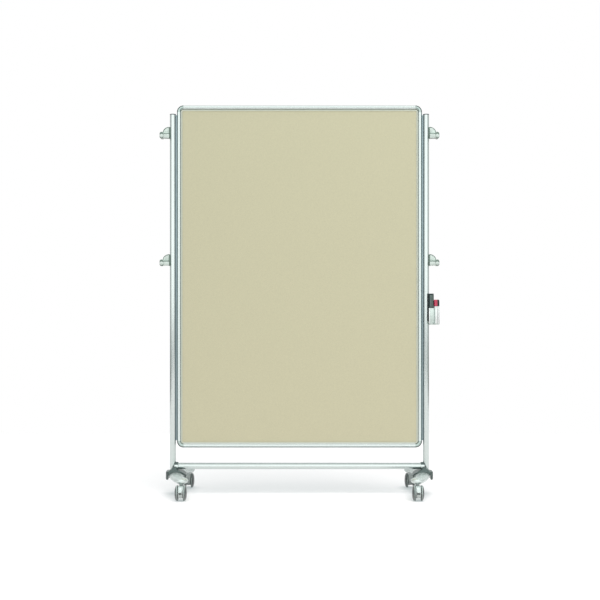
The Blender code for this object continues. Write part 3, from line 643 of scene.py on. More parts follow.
def makeRails(halfWidth, halfHeight, middle):
    for turn, name in enumerate(("left", "top", "right", "bottom")):
        upright = turn % 2 == 0
        reach = halfWidth if upright else halfHeight
        run = (halfHeight if upright else halfWidth) - mouldingLook["cornerRadius"] - mouldingLook["joint"]
        place = Matrix.Translation(middle) @ Matrix.Rotation(turn * quarterTurn, 4, "Y")
        shape = moved(extruded(mouldingProfile(), -run, run), (-reach, 0, 0))
        shape.transform(place)
        finish = "railUpright" if upright else "railLevel"
        finishPiece(f"frame_moulding_{name}", shape, finish, [f"frame_rail_{name}"], 24)
        # The top rail's outer edge faces the light, so only the other three rails get this painted shade.
        if name != "top":
            near, far = (extruded(outline, -run, run) for outline in paintedShadeOutlines())
            bead = moved(combined(near, [far]), (-reach, 0, 0))
            bead.transform(place)
            finishPiece(f"frame_painted_shade_edge_{name}", bead, "bead")


def makeCorners(halfWidth, halfHeight, middle):
    radius = mouldingLook["cornerRadius"]
    for turn, name in enumerate(("top_left", "top_right", "bottom_right", "bottom_left")):
        flat = Vector((-(halfWidth - radius), 0, halfHeight - radius))
        flat.x *= 1 if name.endswith("left") else -1
        flat.z *= 1 if name.startswith("top") else -1
        place = Matrix.Translation(middle + flat) @ Matrix.Rotation(turn * quarterTurn, 4, "Y")
        # Each corner gets the same dark strip over its outer edge: painted shade.
        shape, edging = quarterShape([mouldingProfile()]), quarterShape(paintedShadeOutlines())
        shape.transform(place)
        edging.transform(place)
        finishPiece(f"frame_quarter_{name}", shape, "corner", [f"frame_corner_{name}"], 24)
        finishPiece(f"corner_painted_shade_{name}", edging, "edging")


def makeTrims(halfWidth, halfHeight, middle, bottom):
    look = mouldingLook
    groove, floor = look["face"] + look["grooveWidth"], look["lipLevel"] - look["grooveDepth"]
    width, sill = halfWidth - look["cornerRadius"] - look["joint"], bottom + look["face"]
    # On the bottom rail a light sill covers that dark strip, as the groove there faces up to the light;
    # the painted shade stays on the other three sides.
    for name, side in (("front", -1), ("back", 1)):
        near, far = sorted(side * depth for depth in (floor, look["lipLevel"] + look["sillProud"]))
        low, high = (-width, near, sill - look["sillProud"]), (width, far, sill + look["grooveWidth"])
        finishPiece(f"frame_sill_{name}", boxShape(low, high, look["sillRound"], 1), "railLevel")
    # The lip, and the dark strip of painted shade on the groove's floor, run round all four sides.
    trims = {
        "frame_lip_trim": ("lip", groove, look["lip"], look["channelHalf"], look["lipLevel"]),
        "frame_groove_painted_shade": (
            "gasket", look["face"] - look["gasketUnder"], groove, floor, floor + look["gasket"],
        ),
    }
    for name, (finish, *section) in trims.items():
        shape = moved(trimShape(halfWidth, halfHeight, *section), middle)
        finishPiece(name, shape, finish)


def makeFrame():
    low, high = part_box("frame_rail_left")[0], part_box("frame_rail_right")[1]
    bottom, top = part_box("frame_rail_bottom")[0].z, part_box("frame_rail_top")[1].z
    halfWidth, halfHeight = (high.x - low.x) / 2, (top - bottom) / 2
    middle = Vector((0, 0, (top + bottom) / 2))
    makeRails(halfWidth, halfHeight, middle)
    makeCorners(halfWidth, halfHeight, middle)
    makeTrims(halfWidth, halfHeight, middle, bottom)
    print("frame made")


# The board's faces
panelLook = {
    "edgeRound": 0.0009,
    "lipGap": 0.0004,
    "sheetRound": 0.0003,
}


def makePanels():
    low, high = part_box("pinboard_panel")
    edge = mouldingLook["lip"] + panelLook["lipGap"] - mouldingLook["channelStart"]
    halfWidth, halfHeight = (high.x - low.x) / 2 - edge, (high.z - low.z) / 2 - edge
    radius = mouldingLook["cornerRadius"] - mouldingLook["lip"] - panelLook["lipGap"]
    outline = []
    for turn, (side, level) in enumerate(((1, 1), (-1, 1), (-1, -1), (1, -1))):
        corner = (side * (halfWidth - radius), level * (halfHeight - radius))
        outline += arcPoints(corner, radius, turn * 90, turn * 90 + 90, 6)
    face = extruded(outline, low.y, high.y, "XZ")
    moved(face, ((low.x + high.x) / 2, 0, (low.z + high.z) / 2))
    face = roundEdges(face, panelLook["edgeRound"], 2, 50)
    finishPiece("pin_fabric_face", face, "fabric", ["pinboard_panel"])
    sheet = boxShape(*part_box("whiteboard_panel"), panelLook["sheetRound"], 2)
    finishPiece("writing_sheet", sheet, "enamel", ["whiteboard_panel"])
    core = nodes["panel_core"].data
    core.materials.clear()
    core.materials.append(finishes["core"]["material"])
    print("panels made")


# The tubes, with their caps and the strips beside the board
tubeLook = {
    "steps": 72,
    "wall": 0.002,
    "endRound": 0.0006,
    "capRise": 0.0032,
    "capEdge": 0.0012,  # the height of the dome's outer edge
    "capOver": 0.0002,  # beyond the tube's outer face
    "capBand": 0.0022,  # over the tube's end
    "capPlug": 0.018,
}


def tubeShape(radius, low, high, axis="Z"):
    inner = radius - tubeLook["wall"]
    shape = turned([(radius, high), (radius, low), (inner, low), (inner, high)], tubeLook["steps"], axis)
    return roundEdges(shape, tubeLook["endRound"], 2)


def tubeSides(name):
    # An upright's place across, and its radius.
    low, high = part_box(f"upright_{name}")
    return (low.x + high.x) / 2, (high.x - low.x) / 2


def makeTubes():
    rise, edge, band, plug = (tubeLook[part] for part in ("capRise", "capEdge", "capBand", "capPlug"))
    for name in ("left", "right"):
        low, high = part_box(f"upright_{name}")
        middle = (low + high) / 2
        radius = (high.x - low.x) / 2
        tube = moved(tubeShape(radius, low.z, high.z), (middle.x, 0, 0))
        finishPiece(f"upright_tube_{name}", tube, "tubeUpright", [f"upright_{name}"])
        crown = ((0, rise), (0.6 * radius, rise), (0.95 * radius, 0.85 * rise), (radius, edge))
        over = radius + tubeLook["capOver"]
        skirt = [(over, 0.0003), (over, -band), (radius - 0.0004, -band), (radius - 0.0004, -0.0004)]
        skirt += [(radius - 0.0023, -0.0004), (radius - 0.003, -plug), (0, -plug)]
        cap = turned(curvePoints(crown, 10) + skirt, tubeLook["steps"])
        moved(cap, (middle.x, 0, high.z))
        finishPiece(f"tube_end_cap_{name}", cap, "cap", [f"upright_cap_{name}"])
    low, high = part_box("bottom_rail")
    rail = tubeShape((high.z - low.z) / 2, low.x, high.x, "X")
    moved(rail, (0, 0, (low.z + high.z) / 2))
    finishPiece("bottom_rail_tube", rail, "tubeLevel", ["bottom_rail"])
    print("tubes made")


# The strips between the frame and the tubes
stripLook = {
    "frameHalf": 0.006,
    "tubeHalf": 0.0074,
    "necked": 0.0048,  # behind the shadow gap beside the tube
    "gap": 0.0018,
    "round": 0.0003,
}


def makeStrips():
    for name, side in sides:
        low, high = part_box(f"side_strip_{name}")
        centre, radius = tubeSides(name)
        saddle = radius + clearance
        near = -abs((low.x if side > 0 else high.x) - centre)
        wide, thin, frameHalf = stripLook["tubeHalf"], stripLook["necked"], stripLook["frameHalf"]
        edge = -math.sqrt(saddle ** 2 - wide ** 2) - stripLook["gap"]
        reach = math.degrees(math.asin(thin / saddle))
        outline = [(near, -frameHalf), (near, frameHalf), (edge, wide), (edge, thin)]
        outline += arcPoints((0, 0), saddle, 180 - reach, 180 + reach, 10)
        outline += [(edge, -thin), (edge, -wide)]
        outline = [(side * u, v) for u, v in outline]
        shape = roundEdges(extruded(outline, low.z, high.z), stripLook["round"], 2)
        moved(shape, (centre, 0, 0))
        finishPiece(f"joining_strip_{name}", shape, "strip", [f"side_strip_{name}"])
    print("strips made")


# The hooks: a clasp on the tube, a fin with a raised rim, and a cradle with a thick rounded lip
hookLook = {
    "heights": {"upper": 1.797, "lower": 1.163},
    "plate": 0.0045,
    "claspHalf": 0.028,
    "claspReach": 43,  # degrees to either side
    "claspRise": 0.001,
    "finRoot": (0.017, 0.003),  # the middle of its round, from the tube's axis and the hook's level
    "finSize": (0.033, 0.028),  # the round's reach across and up
    "finEnd": 0.05,
    "finHalf": 0.0045,
    "finRim": 0.0034,  # the dark edge round the fin's light panel
    "finSunk": 0.0006,
    "panelFoot": -0.0014,
    "panelGap": 0.0001,
    "depthHalf": 0.022,
    "seat": -0.0065,
    "reach": 0.0645,
    "throat": 0.048,
    "underside": (-0.0255, -0.0262),  # its height at the throat and at the tube
    "lipRadius": 0.01,
    "lipTop": 0.005,
    "lipBottom": -0.0285,
    "endPlate": 0.0012,
    "endInset": 0.0006,  # of the dark plate, inside the lip's outline and behind the disc
    "endBedded": 0.0004,
    # the light disc on each end of the lip is a painted highlight
    "endDisc": (-0.0148, 0.009),  # its height and radius
    "round": 0.0014,
}


def finArc(inset, start, end):
    # The fin's round edge, drawn in by that much.
    (root, level), (across, up) = hookLook["finRoot"], hookLook["finSize"]
    points = []
    for degrees in range(start, end, 6 if end > start else -6):
        angle = math.radians(degrees)
        points.append((root + (across - inset) * math.cos(angle), level + (up - inset) * math.sin(angle)))
    return points


def finShapes():
    # The dark rim that stands on the seat, and the light panel inside it. The rim is painted shade: the
    # dark outline of the fin's rounded edge, and the shadow in the slot above the seat.
    rim, half, foot = hookLook["finRim"], hookLook["finHalf"], hookLook["panelFoot"]
    root, end, base = hookLook["finRoot"][0], hookLook["finEnd"], hookLook["seat"] - 0.001
    outline = [(root, base), (end, base)]
    outline += finArc(0, 0, 91) + finArc(rim, 90, -1) + [(end - rim, foot), (root, foot)]
    dark = slab(outline, -half, half, "XZ", 0.0005, 2, 40)
    gap = hookLook["panelGap"]
    outline = [(root + 2 * gap, foot + gap), (end - rim - gap, foot + gap)] + finArc(rim + gap, 0, 91)
    sunk = half - hookLook["finSunk"]
    return dark, slab(outline, -sunk, sunk, "XZ", 0.0004, 2, 40)


def lipArcs(inset, top, bottom, steps):
    # Round the lip's top and bottom, each arc with its own start, end and steps.
    radius = hookLook["lipRadius"]
    across = hookLook["reach"] - radius
    arcs = arcPoints((across, hookLook["lipTop"] - radius), radius - inset, *top, steps[0])
    return arcs + arcPoints((across, hookLook["lipBottom"] + radius), radius - inset, *bottom, steps[1])


def cradleShape():
    root, throat = hookLook["finRoot"][0], hookLook["throat"]
    outline = [(root, hookLook["seat"]), (throat, hookLook["seat"])]
    outline += lipArcs(0, (165, 0), (0, -110), (18, 12))
    outline += list(zip((throat, root), hookLook["underside"]))
    half = hookLook["depthHalf"] - hookLook["endPlate"]
    return slab(outline, -half, half, "XZ", hookLook["round"], 3)


def lipEnds(light):
    # On both ends of the lip, a dark plate with a light disc in its middle: painted shade round the lip's
    # rounded edge, and a painted highlight in its middle.
    if light:
        height, disc = hookLook["endDisc"]
        outline = arcPoints((hookLook["reach"] - hookLook["lipRadius"], height), disc, 0, 350, 35)
    else:
        outline = lipArcs(hookLook["endInset"], (180, 0), (0, -180), (20, 20))
    near = hookLook["depthHalf"] - hookLook["endPlate"] - hookLook["endBedded"]
    far = hookLook["depthHalf"] - (0 if light else hookLook["endInset"])
    return [slab(outline, *sorted((end * near, end * far)), "XZ", 0.0003) for end in (-1, 1)]


def hookShapes(tubeRadius):
    # The dark frame with its clasp, and the light shell. The dark frame is painted shade on the clasp, the
    # fin's rim and the lip's ends.
    saddle, reach, half = tubeRadius + clearance, hookLook["claspReach"], hookLook["claspHalf"]
    clasp = arcPoints((0, 0), saddle, -reach, reach, 24)
    clasp += arcPoints((0, 0), saddle + hookLook["plate"], reach, -reach, 24)
    band = moved(slab(clasp, -half, half, "XY", 0.0009, 3), (0, 0, hookLook["claspRise"]))
    rim, panel = finShapes()
    return combined(band, [rim, *lipEnds(False)]), gathered(cradleShape(), [panel, *lipEnds(True)])


def makeHooks():
    for name, side in sides:
        centre, radius = tubeSides(name)
        for level, height in hookLook["heights"].items():
            dark, light = hookShapes(radius)
            for shape in (dark, light):
                shape.transform(Matrix.Translation((centre, 0, height)) @ Matrix.Diagonal((side, 1, 1, 1)))
            finishPiece(f"hook_painted_shade_{level}_{name}", dark, "hookFrame", [f"hook_{level}_{name}"], 32)
            finishPiece(f"hook_shell_{level}_{name}", light, "hook", (), 32)
    print("hooks made")


# The feet: curved legs under dark cast hubs
legLook = {
    "outerX": 0.612,
    "height": 0.0985,
    "droop": 0.0055,
    "halfHeight": 0.0155,
    "waistHalf": 0.035,
    "endHalf": 0.034,
    "closing": (14, 28, 41, 53, 64, 73, 80, 86),  # degrees round the leg's rounded end
    "castorX": 0.571,
    "castorY": 0.1885,
    "padSeat": 0.0755,
    "padTop": 0.094,
    "padRadius": 0.015,
    "padRound": 0.001,
    "stations": 14,
    "around": 36,
}
hubLook = {
    "voxel": 0.0011,
    "smoothing": 14,
    # the light band on the collar's front, a painted highlight:
    "collar": (0.6035, 0.6215),
    "collarRadius": 0.0207,
    "collarSkin": 0.0016,
    "faceAngle": 24,  # degrees above and below the middle
}
boltLook = {
    "head": 0.0045,
    "headRadius": 0.007,
    "washer": 0.0008,
    "radius": 0.004,
}


def legShape():
    rise = legLook["outerX"] - legLook["castorX"]
    radius = (legLook["castorY"] ** 2 + rise ** 2) / (2 * rise)
    centreX = legLook["outerX"] - radius
    reach = math.asin(legLook["castorY"] / radius)
    beyond = legLook["endHalf"] / radius
    closing = [math.radians(a) for a in legLook["closing"]]
    count = legLook["stations"]
    ends = [(reach + beyond * math.sin(a), math.cos(a)) for a in closing]
    stations = [(-angle, share) for angle, share in reversed(ends)]
    stations += [(reach * i / count, 1.0) for i in range(-count, count + 1)] + ends
    shape = bmesh.new()
    rings = []
    for angle, share in stations:
        swell = min(1.0, abs(angle) / reach)
        blend = swell * swell * (3 - 2 * swell)
        width = (legLook["waistHalf"] + (legLook["endHalf"] - legLook["waistHalf"]) * blend) * share
        height = legLook["halfHeight"] * share ** 0.6
        place = Matrix.Translation((centreX, 0, legLook["height"] - legLook["droop"] * blend))
        place = place @ Matrix.Rotation(angle, 4, "Z") @ Matrix.Translation((radius, 0, 0))
        place = place @ Matrix.Rotation(quarterTurn, 4, "X") @ Matrix.Diagonal((width, height, 1, 1))
        made = bmesh.ops.create_circle(
            shape, cap_ends=False, segments=legLook["around"], radius=1.0, matrix=place
        )
        rings.append(list({edge for vert in made["verts"] for edge in vert.link_edges}))
    for first, second in zip(rings, rings[1:]):
        bmesh.ops.bridge_loops(shape, edges=first + second)
    for ring in (rings[0], rings[-1]):
        bmesh.ops.edgeloop_fill(shape, edges=ring)
    bmesh.ops.recalc_face_normals(shape, faces=shape.faces)
    seat, pad, top = legLook["padSeat"], legLook["padRadius"], legLook["padTop"]
    pads = []
    for end in (-1, 1):
        foot = turned([(0, top), (pad + 0.002, top), (pad, seat + 0.008), (pad, seat), (0, seat)], 40)
        roundEdges(foot, legLook["padRound"], 2)
        pads.append(moved(foot, (legLook["castorX"], end * legLook["castorY"], 0)))
    return combined(shape, pads)


def softCopy(node, voxel, rounds):
    # A node's own shape as a smooth casting, with its edges worn round.
    shape = bmesh.new()
    shape.from_mesh(nodes[node].data)
    bmesh.ops.remove_doubles(shape, verts=shape.verts, dist=0.000002)
    piece = toObject("casting", shape)
    remesh = piece.modifiers.new("fine", "REMESH")
    remesh.mode = "VOXEL"
    remesh.voxel_size = voxel
    smooth = piece.modifiers.new("worn", "SMOOTH")
    smooth.factor = 0.5
    smooth.iterations = rounds
    return evaluatedShape(piece)


def boltShape(low, high):
    # A hexagon head with a washer face, on a round shank.
    radius, wide, face = boltLook["radius"], boltLook["headRadius"], boltLook["washer"]
    top = low + boltLook["head"]
    head = bmesh.new()
    sizes = {"radius1": wide, "radius2": wide, "depth": top - low - face}
    bmesh.ops.create_cone(head, cap_ends=True, segments=6, **sizes)
    roundEdges(moved(head, (0, 0, (top - face + low) / 2)), 0.0004, 2)
    shank = [(0, high), (radius - 0.0006, high), (radius, high - 0.0008), (radius, top - 0.0002)]
    shank += [(wide - 0.0002, top), (wide - 0.0002, top - 0.001), (0, top - 0.001)]
    return combined(turned(shank, 32), [head])


def collarHighlight(side):
    # A band of light metal on the front of the dark collar only, where the rail's highlight runs on: a
    # painted highlight.
    low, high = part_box("bottom_rail")
    centre = (0, (low.z + high.z) / 2)
    radius, angle = hubLook["collarRadius"], hubLook["faceAngle"]
    outline = arcPoints(centre, radius, 180 - angle, 180 + angle, 14)
    outline += arcPoints(centre, radius - hubLook["collarSkin"], 180 + angle, 180 - angle, 14)
    near, far = sorted(side * across for across in hubLook["collar"])
    return slab(outline, near, far, "YZ", 0.0004)


def makeFeet():
    for name, side in sides:
        leg = legShape()
        leg.transform(Matrix.Diagonal((side, 1, 1, 1)))
        finishPiece(f"curved_leg_{name}", leg, "leg", [f"foot_leg_{name}"], 50)
        hub = softCopy(f"foot_hub_{name}", hubLook["voxel"], hubLook["smoothing"])
        finishPiece(f"cast_hub_{name}", hub, "hub", [f"foot_hub_{name}"], 60)
        finishPiece(f"collar_painted_highlight_{name}", collarHighlight(side), "tubeLevel")
        low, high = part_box(f"foot_bolt_{name}")
        bolt = moved(boltShape(low.z, high.z), ((low.x + high.x) / 2, 0, 0))
        finishPiece(f"leg_bolt_{name}", bolt, "steel", [f"foot_bolt_{name}"])
    print("feet made")


# The castors. In a castor's own frame the stem stands on the origin and the wheels trail towards +Y.
castorLook = {
    "trail": 0.028,
    "radius": 0.0375,
    "bodyHalf": 0.012,
    "bodyRound": 0.0024,
    "noseRadius": 0.0245,
    "tailRadius": 0.033,
    "neckRadius": 0.0088,
    "neckTop": 0.0743,
    "neckFoot": 0.06,
    "stemRadius": 0.0055,
    "stemTop": 0.098,
    "stemFoot": 0.0495,
    "boreFoot": 0.0485,
    "slot": ((-0.008, 0.0365, 0.0335), (0.008, 0.08, 0.08)),  # the pedal's, from corner to corner
    "axleRadius": 0.004,
    "axleHalf": 0.025,
    "wheelInner": 0.0126,
    "tyreSunk": 0.0003,  # under the tread's face
    "pedalPivot": (0.044, 0.062),
    "pedalHalf": 0.0074,
    "pinRadius": 0.0022,
    "pinHalf": 0.01,
    "throughHalf": 0.02,  # a bore's half length, past both faces
    "dish": (0.064, 0.053),  # the middle of the hollow in the pedal's tread
    "steps": 96,
}


def castorBodyShape():
    look = castorLook
    axle = (look["trail"], look["radius"])
    half, through = look["bodyHalf"], look["throughHalf"]
    outline = [(0.014, 0.07), (-0.006, 0.0685), (-0.0085, 0.0662), (-0.009, 0.064), (-0.0082, 0.054)]
    outline += arcPoints(axle, look["noseRadius"], 195, 280, 14)
    outline += arcPoints(axle, look["tailRadius"], -35, 80, 24)
    body = slab(outline, -half, half, "YZ", look["bodyRound"], 4)
    radius, top, foot = look["neckRadius"], look["neckTop"], look["neckFoot"]
    neck = [(0, top), (radius - 0.0006, top), (radius, top - 0.0006), (radius, foot), (0, foot)]
    shape = combined(body, [turned(neck, 40)])
    slot = boxShape(*look["slot"])
    bore = rod(look["stemRadius"] + clearance, look["boreFoot"], look["slot"][1][2])
    way = moved(rod(look["axleRadius"] + clearance, -through, through, 32, "X"), (0, *axle))
    shape = combined(shape, [bore, way, slot], "DIFFERENCE")
    pin = rod(look["pinRadius"], -look["pinHalf"], look["pinHalf"], 20, "X")
    return combined(shape, [moved(pin, (0, *look["pedalPivot"]))])


def pedalShape():
    axle, pivot = (castorLook["trail"], castorLook["radius"]), castorLook["pedalPivot"]
    outline = arcPoints(axle, 0.0355, 58, 12, 14)[:-1]
    outline += [(0.068, 0.05), (0.0712, 0.0496), (0.0735, 0.0486), (0.0745, 0.0465), (0.0738, 0.0449)]
    outline += [(0.0725, 0.044), (0.064, 0.0415)]
    outline += arcPoints(axle, 0.0315, 8, 42, 12) + arcPoints(pivot, 0.0048, 215, 95, 14)
    half, through = castorLook["pedalHalf"], castorLook["throughHalf"]
    shape = slab(outline, -half, half, "YZ", 0.0007, 3)
    dish = bmesh.new()  # a three-cornered hollow in the tread
    bmesh.ops.create_cone(dish, cap_ends=True, segments=3, radius1=0.0052, radius2=0.0042, depth=0.003)
    place = Matrix.Translation((0, *castorLook["dish"]))
    dish.transform(place @ Matrix.Rotation(math.radians(-48), 4, "X"))
    hole = moved(rod(castorLook["pinRadius"] + clearance, -through, through, 20, "X"), (0, *pivot))
    return combined(shape, [hole, dish], "DIFFERENCE")


def wheelPart(profile, width):
    return roundEdges(turned(profile, castorLook["steps"]), width, 2, 25)


def tyreShape():
    inner, crown = castorLook["wheelInner"], castorLook["radius"] - castorLook["tyreSunk"]
    profile = [(0.03, 0.0249), (0.0328, 0.024), (0.0352, 0.0222), (0.0365, 0.0198), (crown, 0.017)]
    profile += [(crown, 0.0152), (0.0371, 0.0136), (0.036, inner), (0.03, inner)]
    return wheelPart(profile, 0.0004)


def highlightBandShape():
    # A light grey band round the tyre's crown: a painted highlight, the glint down the middle of the
    # tread.
    radius = castorLook["radius"]
    profile = [(0.0361, 0.0206), (0.0368, 0.0196), (radius, 0.0172), (radius, 0.0154)]
    profile += [(radius - 0.0008, 0.015), (radius - 0.0018, 0.015), (0.035, 0.0206)]
    return wheelPart(profile, 0.0002)


def wheelCoverShape():
    inner = castorLook["wheelInner"]
    profile = [(0, 0.0288), (0.005, 0.0286), (0.0058, 0.028), (0.0064, 0.0272), (0.008, 0.0272)]
    profile += [(0.015, 0.0284), (0.02, 0.0278), (0.0208, 0.0266), (0.0232, 0.0264), (0.024, 0.027)]
    profile += [(0.0272, 0.0262), (0.0296, 0.025), (0.0297, inner), (0.0043, inner)]
    return wheelPart(profile + [(0.0043, 0.0255), (0, 0.0255)], 0.0003)


def axleShape():
    radius, half = castorLook["axleRadius"], castorLook["axleHalf"]
    profile = [(0, half), (radius - 0.0006, half), (radius, half - 0.0006)]
    return turned(profile + [(across, -up) for across, up in reversed(profile)], 32)


def stemShape():
    radius, flange = castorLook["stemRadius"], castorLook["neckRadius"]
    seat, neck = legLook["padSeat"] - clearance, castorLook["neckTop"] + clearance
    top, foot = castorLook["stemTop"], castorLook["stemFoot"]
    profile = [(0, top), (radius - 0.001, top), (radius, top - 0.001), (radius, seat), (flange, seat)]
    profile += [(flange, neck), (radius, neck), (radius, foot), (0, foot)]
    return turned(profile, 40)


def makeCastor(node, place):
    atAxle = Matrix.Translation((0, castorLook["trail"], castorLook["radius"]))
    onAxle = {turn: atAxle @ Matrix.Rotation(turn * quarterTurn, 4, "Y") for turn in (-1, 1)}
    # Each part's name, shape, place, finish, body and the nodes that it stands for.
    parts = [
        ("housing", castorBodyShape(), Matrix(), "castorBody", "swivel", ["body"]),
        ("tread_pedal", pedalShape(), Matrix(), "castorBody", "brake", ["brake_pedal"]),
        ("axle_pin", axleShape(), onAxle[1], "steel", "swivel", ["axle"]),
        ("stem_pin", stemShape(), Matrix(), "steel", "", ["stem"]),
    ]
    for wheel, turn in (("a", -1), ("b", 1)):
        body = f"wheel_{wheel}"
        parts.append((f"tyre_{wheel}", tyreShape(), onAxle[turn], "tyre", body, [body]))
        parts.append((f"tread_{wheel}", highlightBandShape(), onAxle[turn], "tread", body, []))
        parts.append((f"wheel_cover_{wheel}", wheelCoverShape(), onAxle[turn], "wheelCover", body, []))
    for name, shape, within, finish, body, stoodFor in parts:
        shape.transform(place @ within)
        rides = f"{node}_{body}" if body else "stand"
        finishPiece(f"{node}_{name}", shape, finish, [f"{node}_{old}" for old in stoodFor], 34, rides)


def makeCastors():
    for depth, along in (("front", -1), ("back", 1)):
        for name, side in sides:
            place = Matrix.Translation((side * legLook["castorX"], along * legLook["castorY"], 0))
            if along < 0:
                place = place @ Matrix.Rotation(math.pi, 4, "Z")
            makeCastor(f"castor_{depth}_{name}", place)
    print("castors made")


# The caddy: a clamp on the upright, and a ribbed pocket for the eraser and the markers
caddyLook = {
    "clampBack": 0.0026,  # left open behind the clamp
    "wall": 0.0013,
    "floor": 0.002,
    "taper": 0.0045,  # the height of the pocket's narrowed foot
    "footShare": (0.93, 0.92, 1),
    "cupHalf": 0.028,
    "cupDeep": 0.0232,
    "cupCorner": 0.004,
    "lobeOver": 0.0016,
    "lobes": {"red": (-105, 50), "black": (-90, 105)},  # degrees round each marker
    "trimEnds": (0.0052, 0.0006),  # from the cup's foot and rim
    "sleeve": (0.0006, 0.0003),  # its depth into the cup's wall and out of it
    "sleeveEnds": (6, 3),  # degrees inside the lobe's start and end
    # dark rods in the valleys between the pocket's bay and its lobes, painted shade:
    "valleys": ((0.6695, -0.0262, 0.0017), (0.6878, -0.013, 0.0014)),
    "boss": (0.6645, 0.8513, 0.0038),
    "bossProud": 0.0008,
    "bossHigh": 0.003,
    "cheek": (0.0032, 0.0022),  # its reach over the clamp and over the cup
    "cheekDeep": (0.0014, 0.002),  # in front of the clamp's face and behind it
    # The dark band round the eraser at the pocket's rim is painted shadow, where the eraser goes into the
    # pocket.
    "rimShadeHigh": 0.0048,  # the dark bead round the eraser at the pocket's rim
    "bead": ((0.0014, 0.0018), (0.0016, 0.0018)),  # its reach past the eraser's low and high corners
    "play": 0.0005,
}
eraserLook = {
    "end": 0.0065,  # the dark cap on the eraser's top
    "felt": 0.0042,
    "joint": 0.0001,
    "foamInset": 0.0005,
}
markerLook = {
    "radius": 0.0085,
    "places": {"red": (0.6768, -0.0142), "black": (0.6891, 0.0108)},
    "foot": 0.85,
    "flutes": 16,
    "fluteSpan": (0.0905, 0.11),
    "fluteSkin": 0.0088,
    "fluteDepth": 0.035,  # as a share of the cap's radius
}


def cupPlan(face, inset=0.0):
    lobe = markerLook["radius"] + caddyLook["lobeOver"] - inset
    full = caddyLook["cupCorner"]
    corner, middle = full - inset, caddyLook["cupHalf"] - full
    left, right = face + clearance + full, face + caddyLook["cupDeep"] - full
    plan = arcPoints((left, -middle), corner, 180, 270, 8)
    plan += arcPoints((right, -middle), corner, 270, 325, 6)
    for name, (start, end) in caddyLook["lobes"].items():
        plan += arcPoints(markerLook["places"][name], lobe, start, end, 26)
    plan += arcPoints((right, middle), corner, 35, 90, 6)
    return plan + arcPoints((left, middle), corner, 90, 180, 8)


def makeClamp():
    low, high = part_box("caddy_clamp")
    centre, radius = tubeSides("right")
    saddle = radius + clearance
    near, far, half = low.x - centre + caddyLook["clampBack"], high.x - centre, high.y
    reach = math.degrees(math.acos(near / saddle))
    outline = arcPoints((0, 0), saddle, -reach, reach, 24)
    outline += [(near, half), (far, half), (far, -half), (near, -half)]
    clamp = moved(slab(outline, low.z, high.z, "XY", 0.0008, 3), (centre, 0, 0))
    finishPiece("caddy_backplate", clamp, "clamp", ["caddy_clamp"])


def makePocket(low, high, face):
    taper, centre = caddyLook["taper"], (low.x + high.x) / 2
    cup = extruded(cupPlan(face), low.z + taper, high.z)
    bottom = [f for f in cup.faces if f.normal.z < -0.9]
    drawn = bmesh.ops.extrude_face_region(cup, geom=bottom)
    foot = [part for part in drawn["geom"] if isinstance(part, bmesh.types.BMVert)]
    bmesh.ops.delete(cup, geom=bottom, context="FACES_ONLY")
    bmesh.ops.translate(cup, verts=foot, vec=(-centre, 0, -taper))
    bmesh.ops.scale(cup, verts=foot, vec=caddyLook["footShare"])
    bmesh.ops.translate(cup, verts=foot, vec=(centre, 0, 0))
    bmesh.ops.recalc_face_normals(cup, faces=cup.faces)
    hollow = extruded(cupPlan(face, caddyLook["wall"]), low.z + taper + caddyLook["floor"], high.z + 0.01)
    cup = roundEdges(combined(cup, [hollow], "DIFFERENCE"), 0.0004, 2, 55)
    finishPiece("caddy_pocket", cup, "cup", ["caddy_cup"])


def makePocketTrims(low, high, face):
    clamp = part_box("caddy_clamp")[1]
    bottom, top = low.z + caddyLook["trimEnds"][0], high.z - caddyLook["trimEnds"][1]
    (over, under), (front, back) = caddyLook["cheek"], caddyLook["cheekDeep"]
    corners = (clamp.x - over, -clamp.y - front, bottom), (face + under, -clamp.y + back, top)
    finishPiece("pocket_cheek", boxShape(*corners, 0.0004, 2), "sleeve")
    skin = markerLook["radius"] + caddyLook["lobeOver"]
    (sunk, proud), (after, before) = caddyLook["sleeve"], caddyLook["sleeveEnds"]
    for name, (start, end) in caddyLook["lobes"].items():
        at = markerLook["places"][name]
        sleeve = arcPoints(at, skin + proud, start + after, end - before, 26)
        sleeve += arcPoints(at, skin - sunk, end - before, start + after, 26)
        shape = slab(sleeve, bottom, top, "XY", 0.0002)
        finishPiece(f"marker_sleeve_{name}", shape, "sleeve")
    # Dark rods where the bay and the lobes meet: painted shade in the valleys.
    for number, (across, depth, radius) in enumerate(caddyLook["valleys"], 1):
        seam = moved(rod(radius, bottom, top, 16), (across, depth, 0))
        finishPiece(f"pocket_valley_shade_{number}", seam, "boss")
    across, height, radius = caddyLook["boss"]
    near = low.y - caddyLook["bossProud"]
    outline = arcPoints((across, height), radius, 0, 348, 29)
    boss = slab(outline, near, near + caddyLook["bossHigh"], "XZ", 0.0006)
    finishPiece("pocket_screw_boss", boss, "boss")


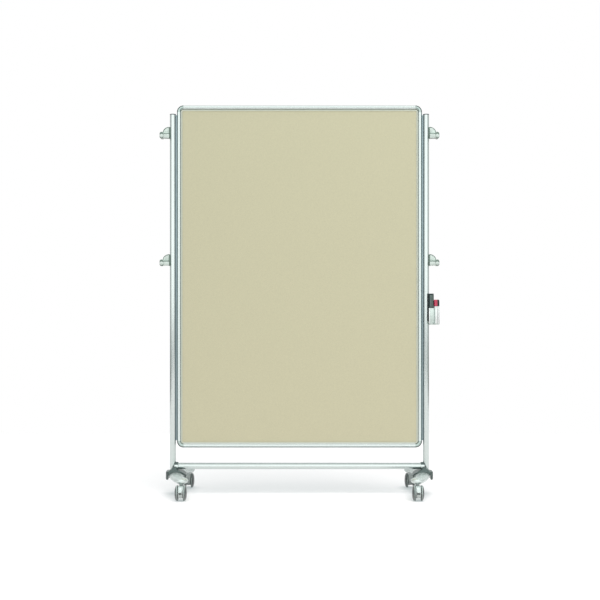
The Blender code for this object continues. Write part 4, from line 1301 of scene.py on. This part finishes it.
def makeEraser(rim):
    low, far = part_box("eraser_back")
    foam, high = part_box("eraser_felt")
    top, skin = high.z - eraserLook["end"], high.x - eraserLook["felt"]
    joint, inset = eraserLook["joint"], eraserLook["foamInset"]
    back = boxShape(low, (far.x, far.y, top), 0.0012, 3)
    finishPiece("eraser_handle", back, "eraser", ["eraser_back"], body="eraser")
    middle = boxShape((foam.x, foam.y + inset, foam.z), (skin, high.y - inset, top), 0.0008, 3)
    finishPiece("eraser_foam", middle, "foam", ["eraser_felt"], body="eraser")
    pad = boxShape((skin + joint, foam.y, foam.z), (high.x, high.y, top), 0.0012, 3)
    finishPiece("eraser_felt_pad", pad, "felt", body="eraser")
    cap = boxShape((low.x, low.y, top + joint), high, 0.002, 4)
    finishPiece("eraser_end_cap", cap, "clamp", body="eraser")
    # A dark band round the eraser at the pocket's rim: painted shadow.
    play, ((left, front), (right, back)) = caddyLook["play"], caddyLook["bead"]
    bead = boxShape(
        (low.x - left, low.y - front, rim), (high.x + right, high.y + back, rim + caddyLook["rimShadeHigh"])
    )
    way = boxShape((low.x - play, low.y - play, rim - 0.01), (high.x + play, high.y + play, rim + 0.02))
    bead = roundEdges(combined(bead, [way], "DIFFERENCE"), 0.0005, 2, 50)
    finishPiece("pocket_rim_painted_shade", bead, "clamp")


def makeMarker(name, place):
    foot, radius = (*place, markerLook["foot"]), markerLook["radius"]
    barrel = [(0, 0.1085), (0.0012, 0.1078), (0.0024, 0.104), (0.0028, 0.0985), (0.0058, 0.0981)]
    barrel += [(0.0062, 0.0975), (0.0066, 0.0855), (radius - 0.0004, 0.085), (radius, 0.0845)]
    barrel += [(radius, 0.007), (radius - 0.0003, 0.0066), (radius - 0.0003, 0.0058), (radius, 0.0054)]
    barrel += [(radius, 0.002), (radius - 0.0006, 0.0006), (0.0068, 0), (0, 0)]
    shape = moved(turned(barrel, 56), foot)
    finishPiece(f"marker_body_{name}", shape, "barrel", [f"marker_{name}_barrel"], 30, f"marker_{name}")
    cap = [(0, 0.118), (0.006, 0.1178), (0.0074, 0.117), (0.0086, 0.1145), (0.0092, 0.1115)]
    cap += [(0.0094, 0.108), (0.0095, 0.091), (0.0096, 0.09), (0.0096, 0.0862), (0.0095, 0.0858)]
    cap += [(0.007, 0.0858), (0.007, 0.0986), (0.0036, 0.099), (0.0036, 0.106), (0, 0.112)]
    shape = turned(cap, 4 * markerLook["flutes"])
    # Shallow flutes between the cap's shoulder and its rim.
    low, high = markerLook["fluteSpan"]
    for vert in shape.verts:
        around = math.atan2(vert.co.y, vert.co.x) * markerLook["flutes"]
        if low < vert.co.z < high and vert.co.xy.length > markerLook["fluteSkin"]:
            vert.co.xy *= 1 - markerLook["fluteDepth"] * (0.5 + 0.5 * math.cos(around))
    finish, node = "cap" + name.capitalize(), f"marker_{name}_cap"
    finishPiece(f"marker_top_{name}", moved(shape, foot), finish, [node], 30, node)


def makeCaddy():
    low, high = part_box("caddy_cup")
    face = low.x - clearance
    makeClamp()
    makePocket(low, high, face)
    makePocketTrims(low, high, face)
    makeEraser(high.z)
    for name, place in markerLook["places"].items():
        makeMarker(name, place)
    print("caddy made")


makeFrame()
makePanels()
makeTubes()
makeStrips()
makeHooks()
makeFeet()
makeCastors()
makeCaddy()
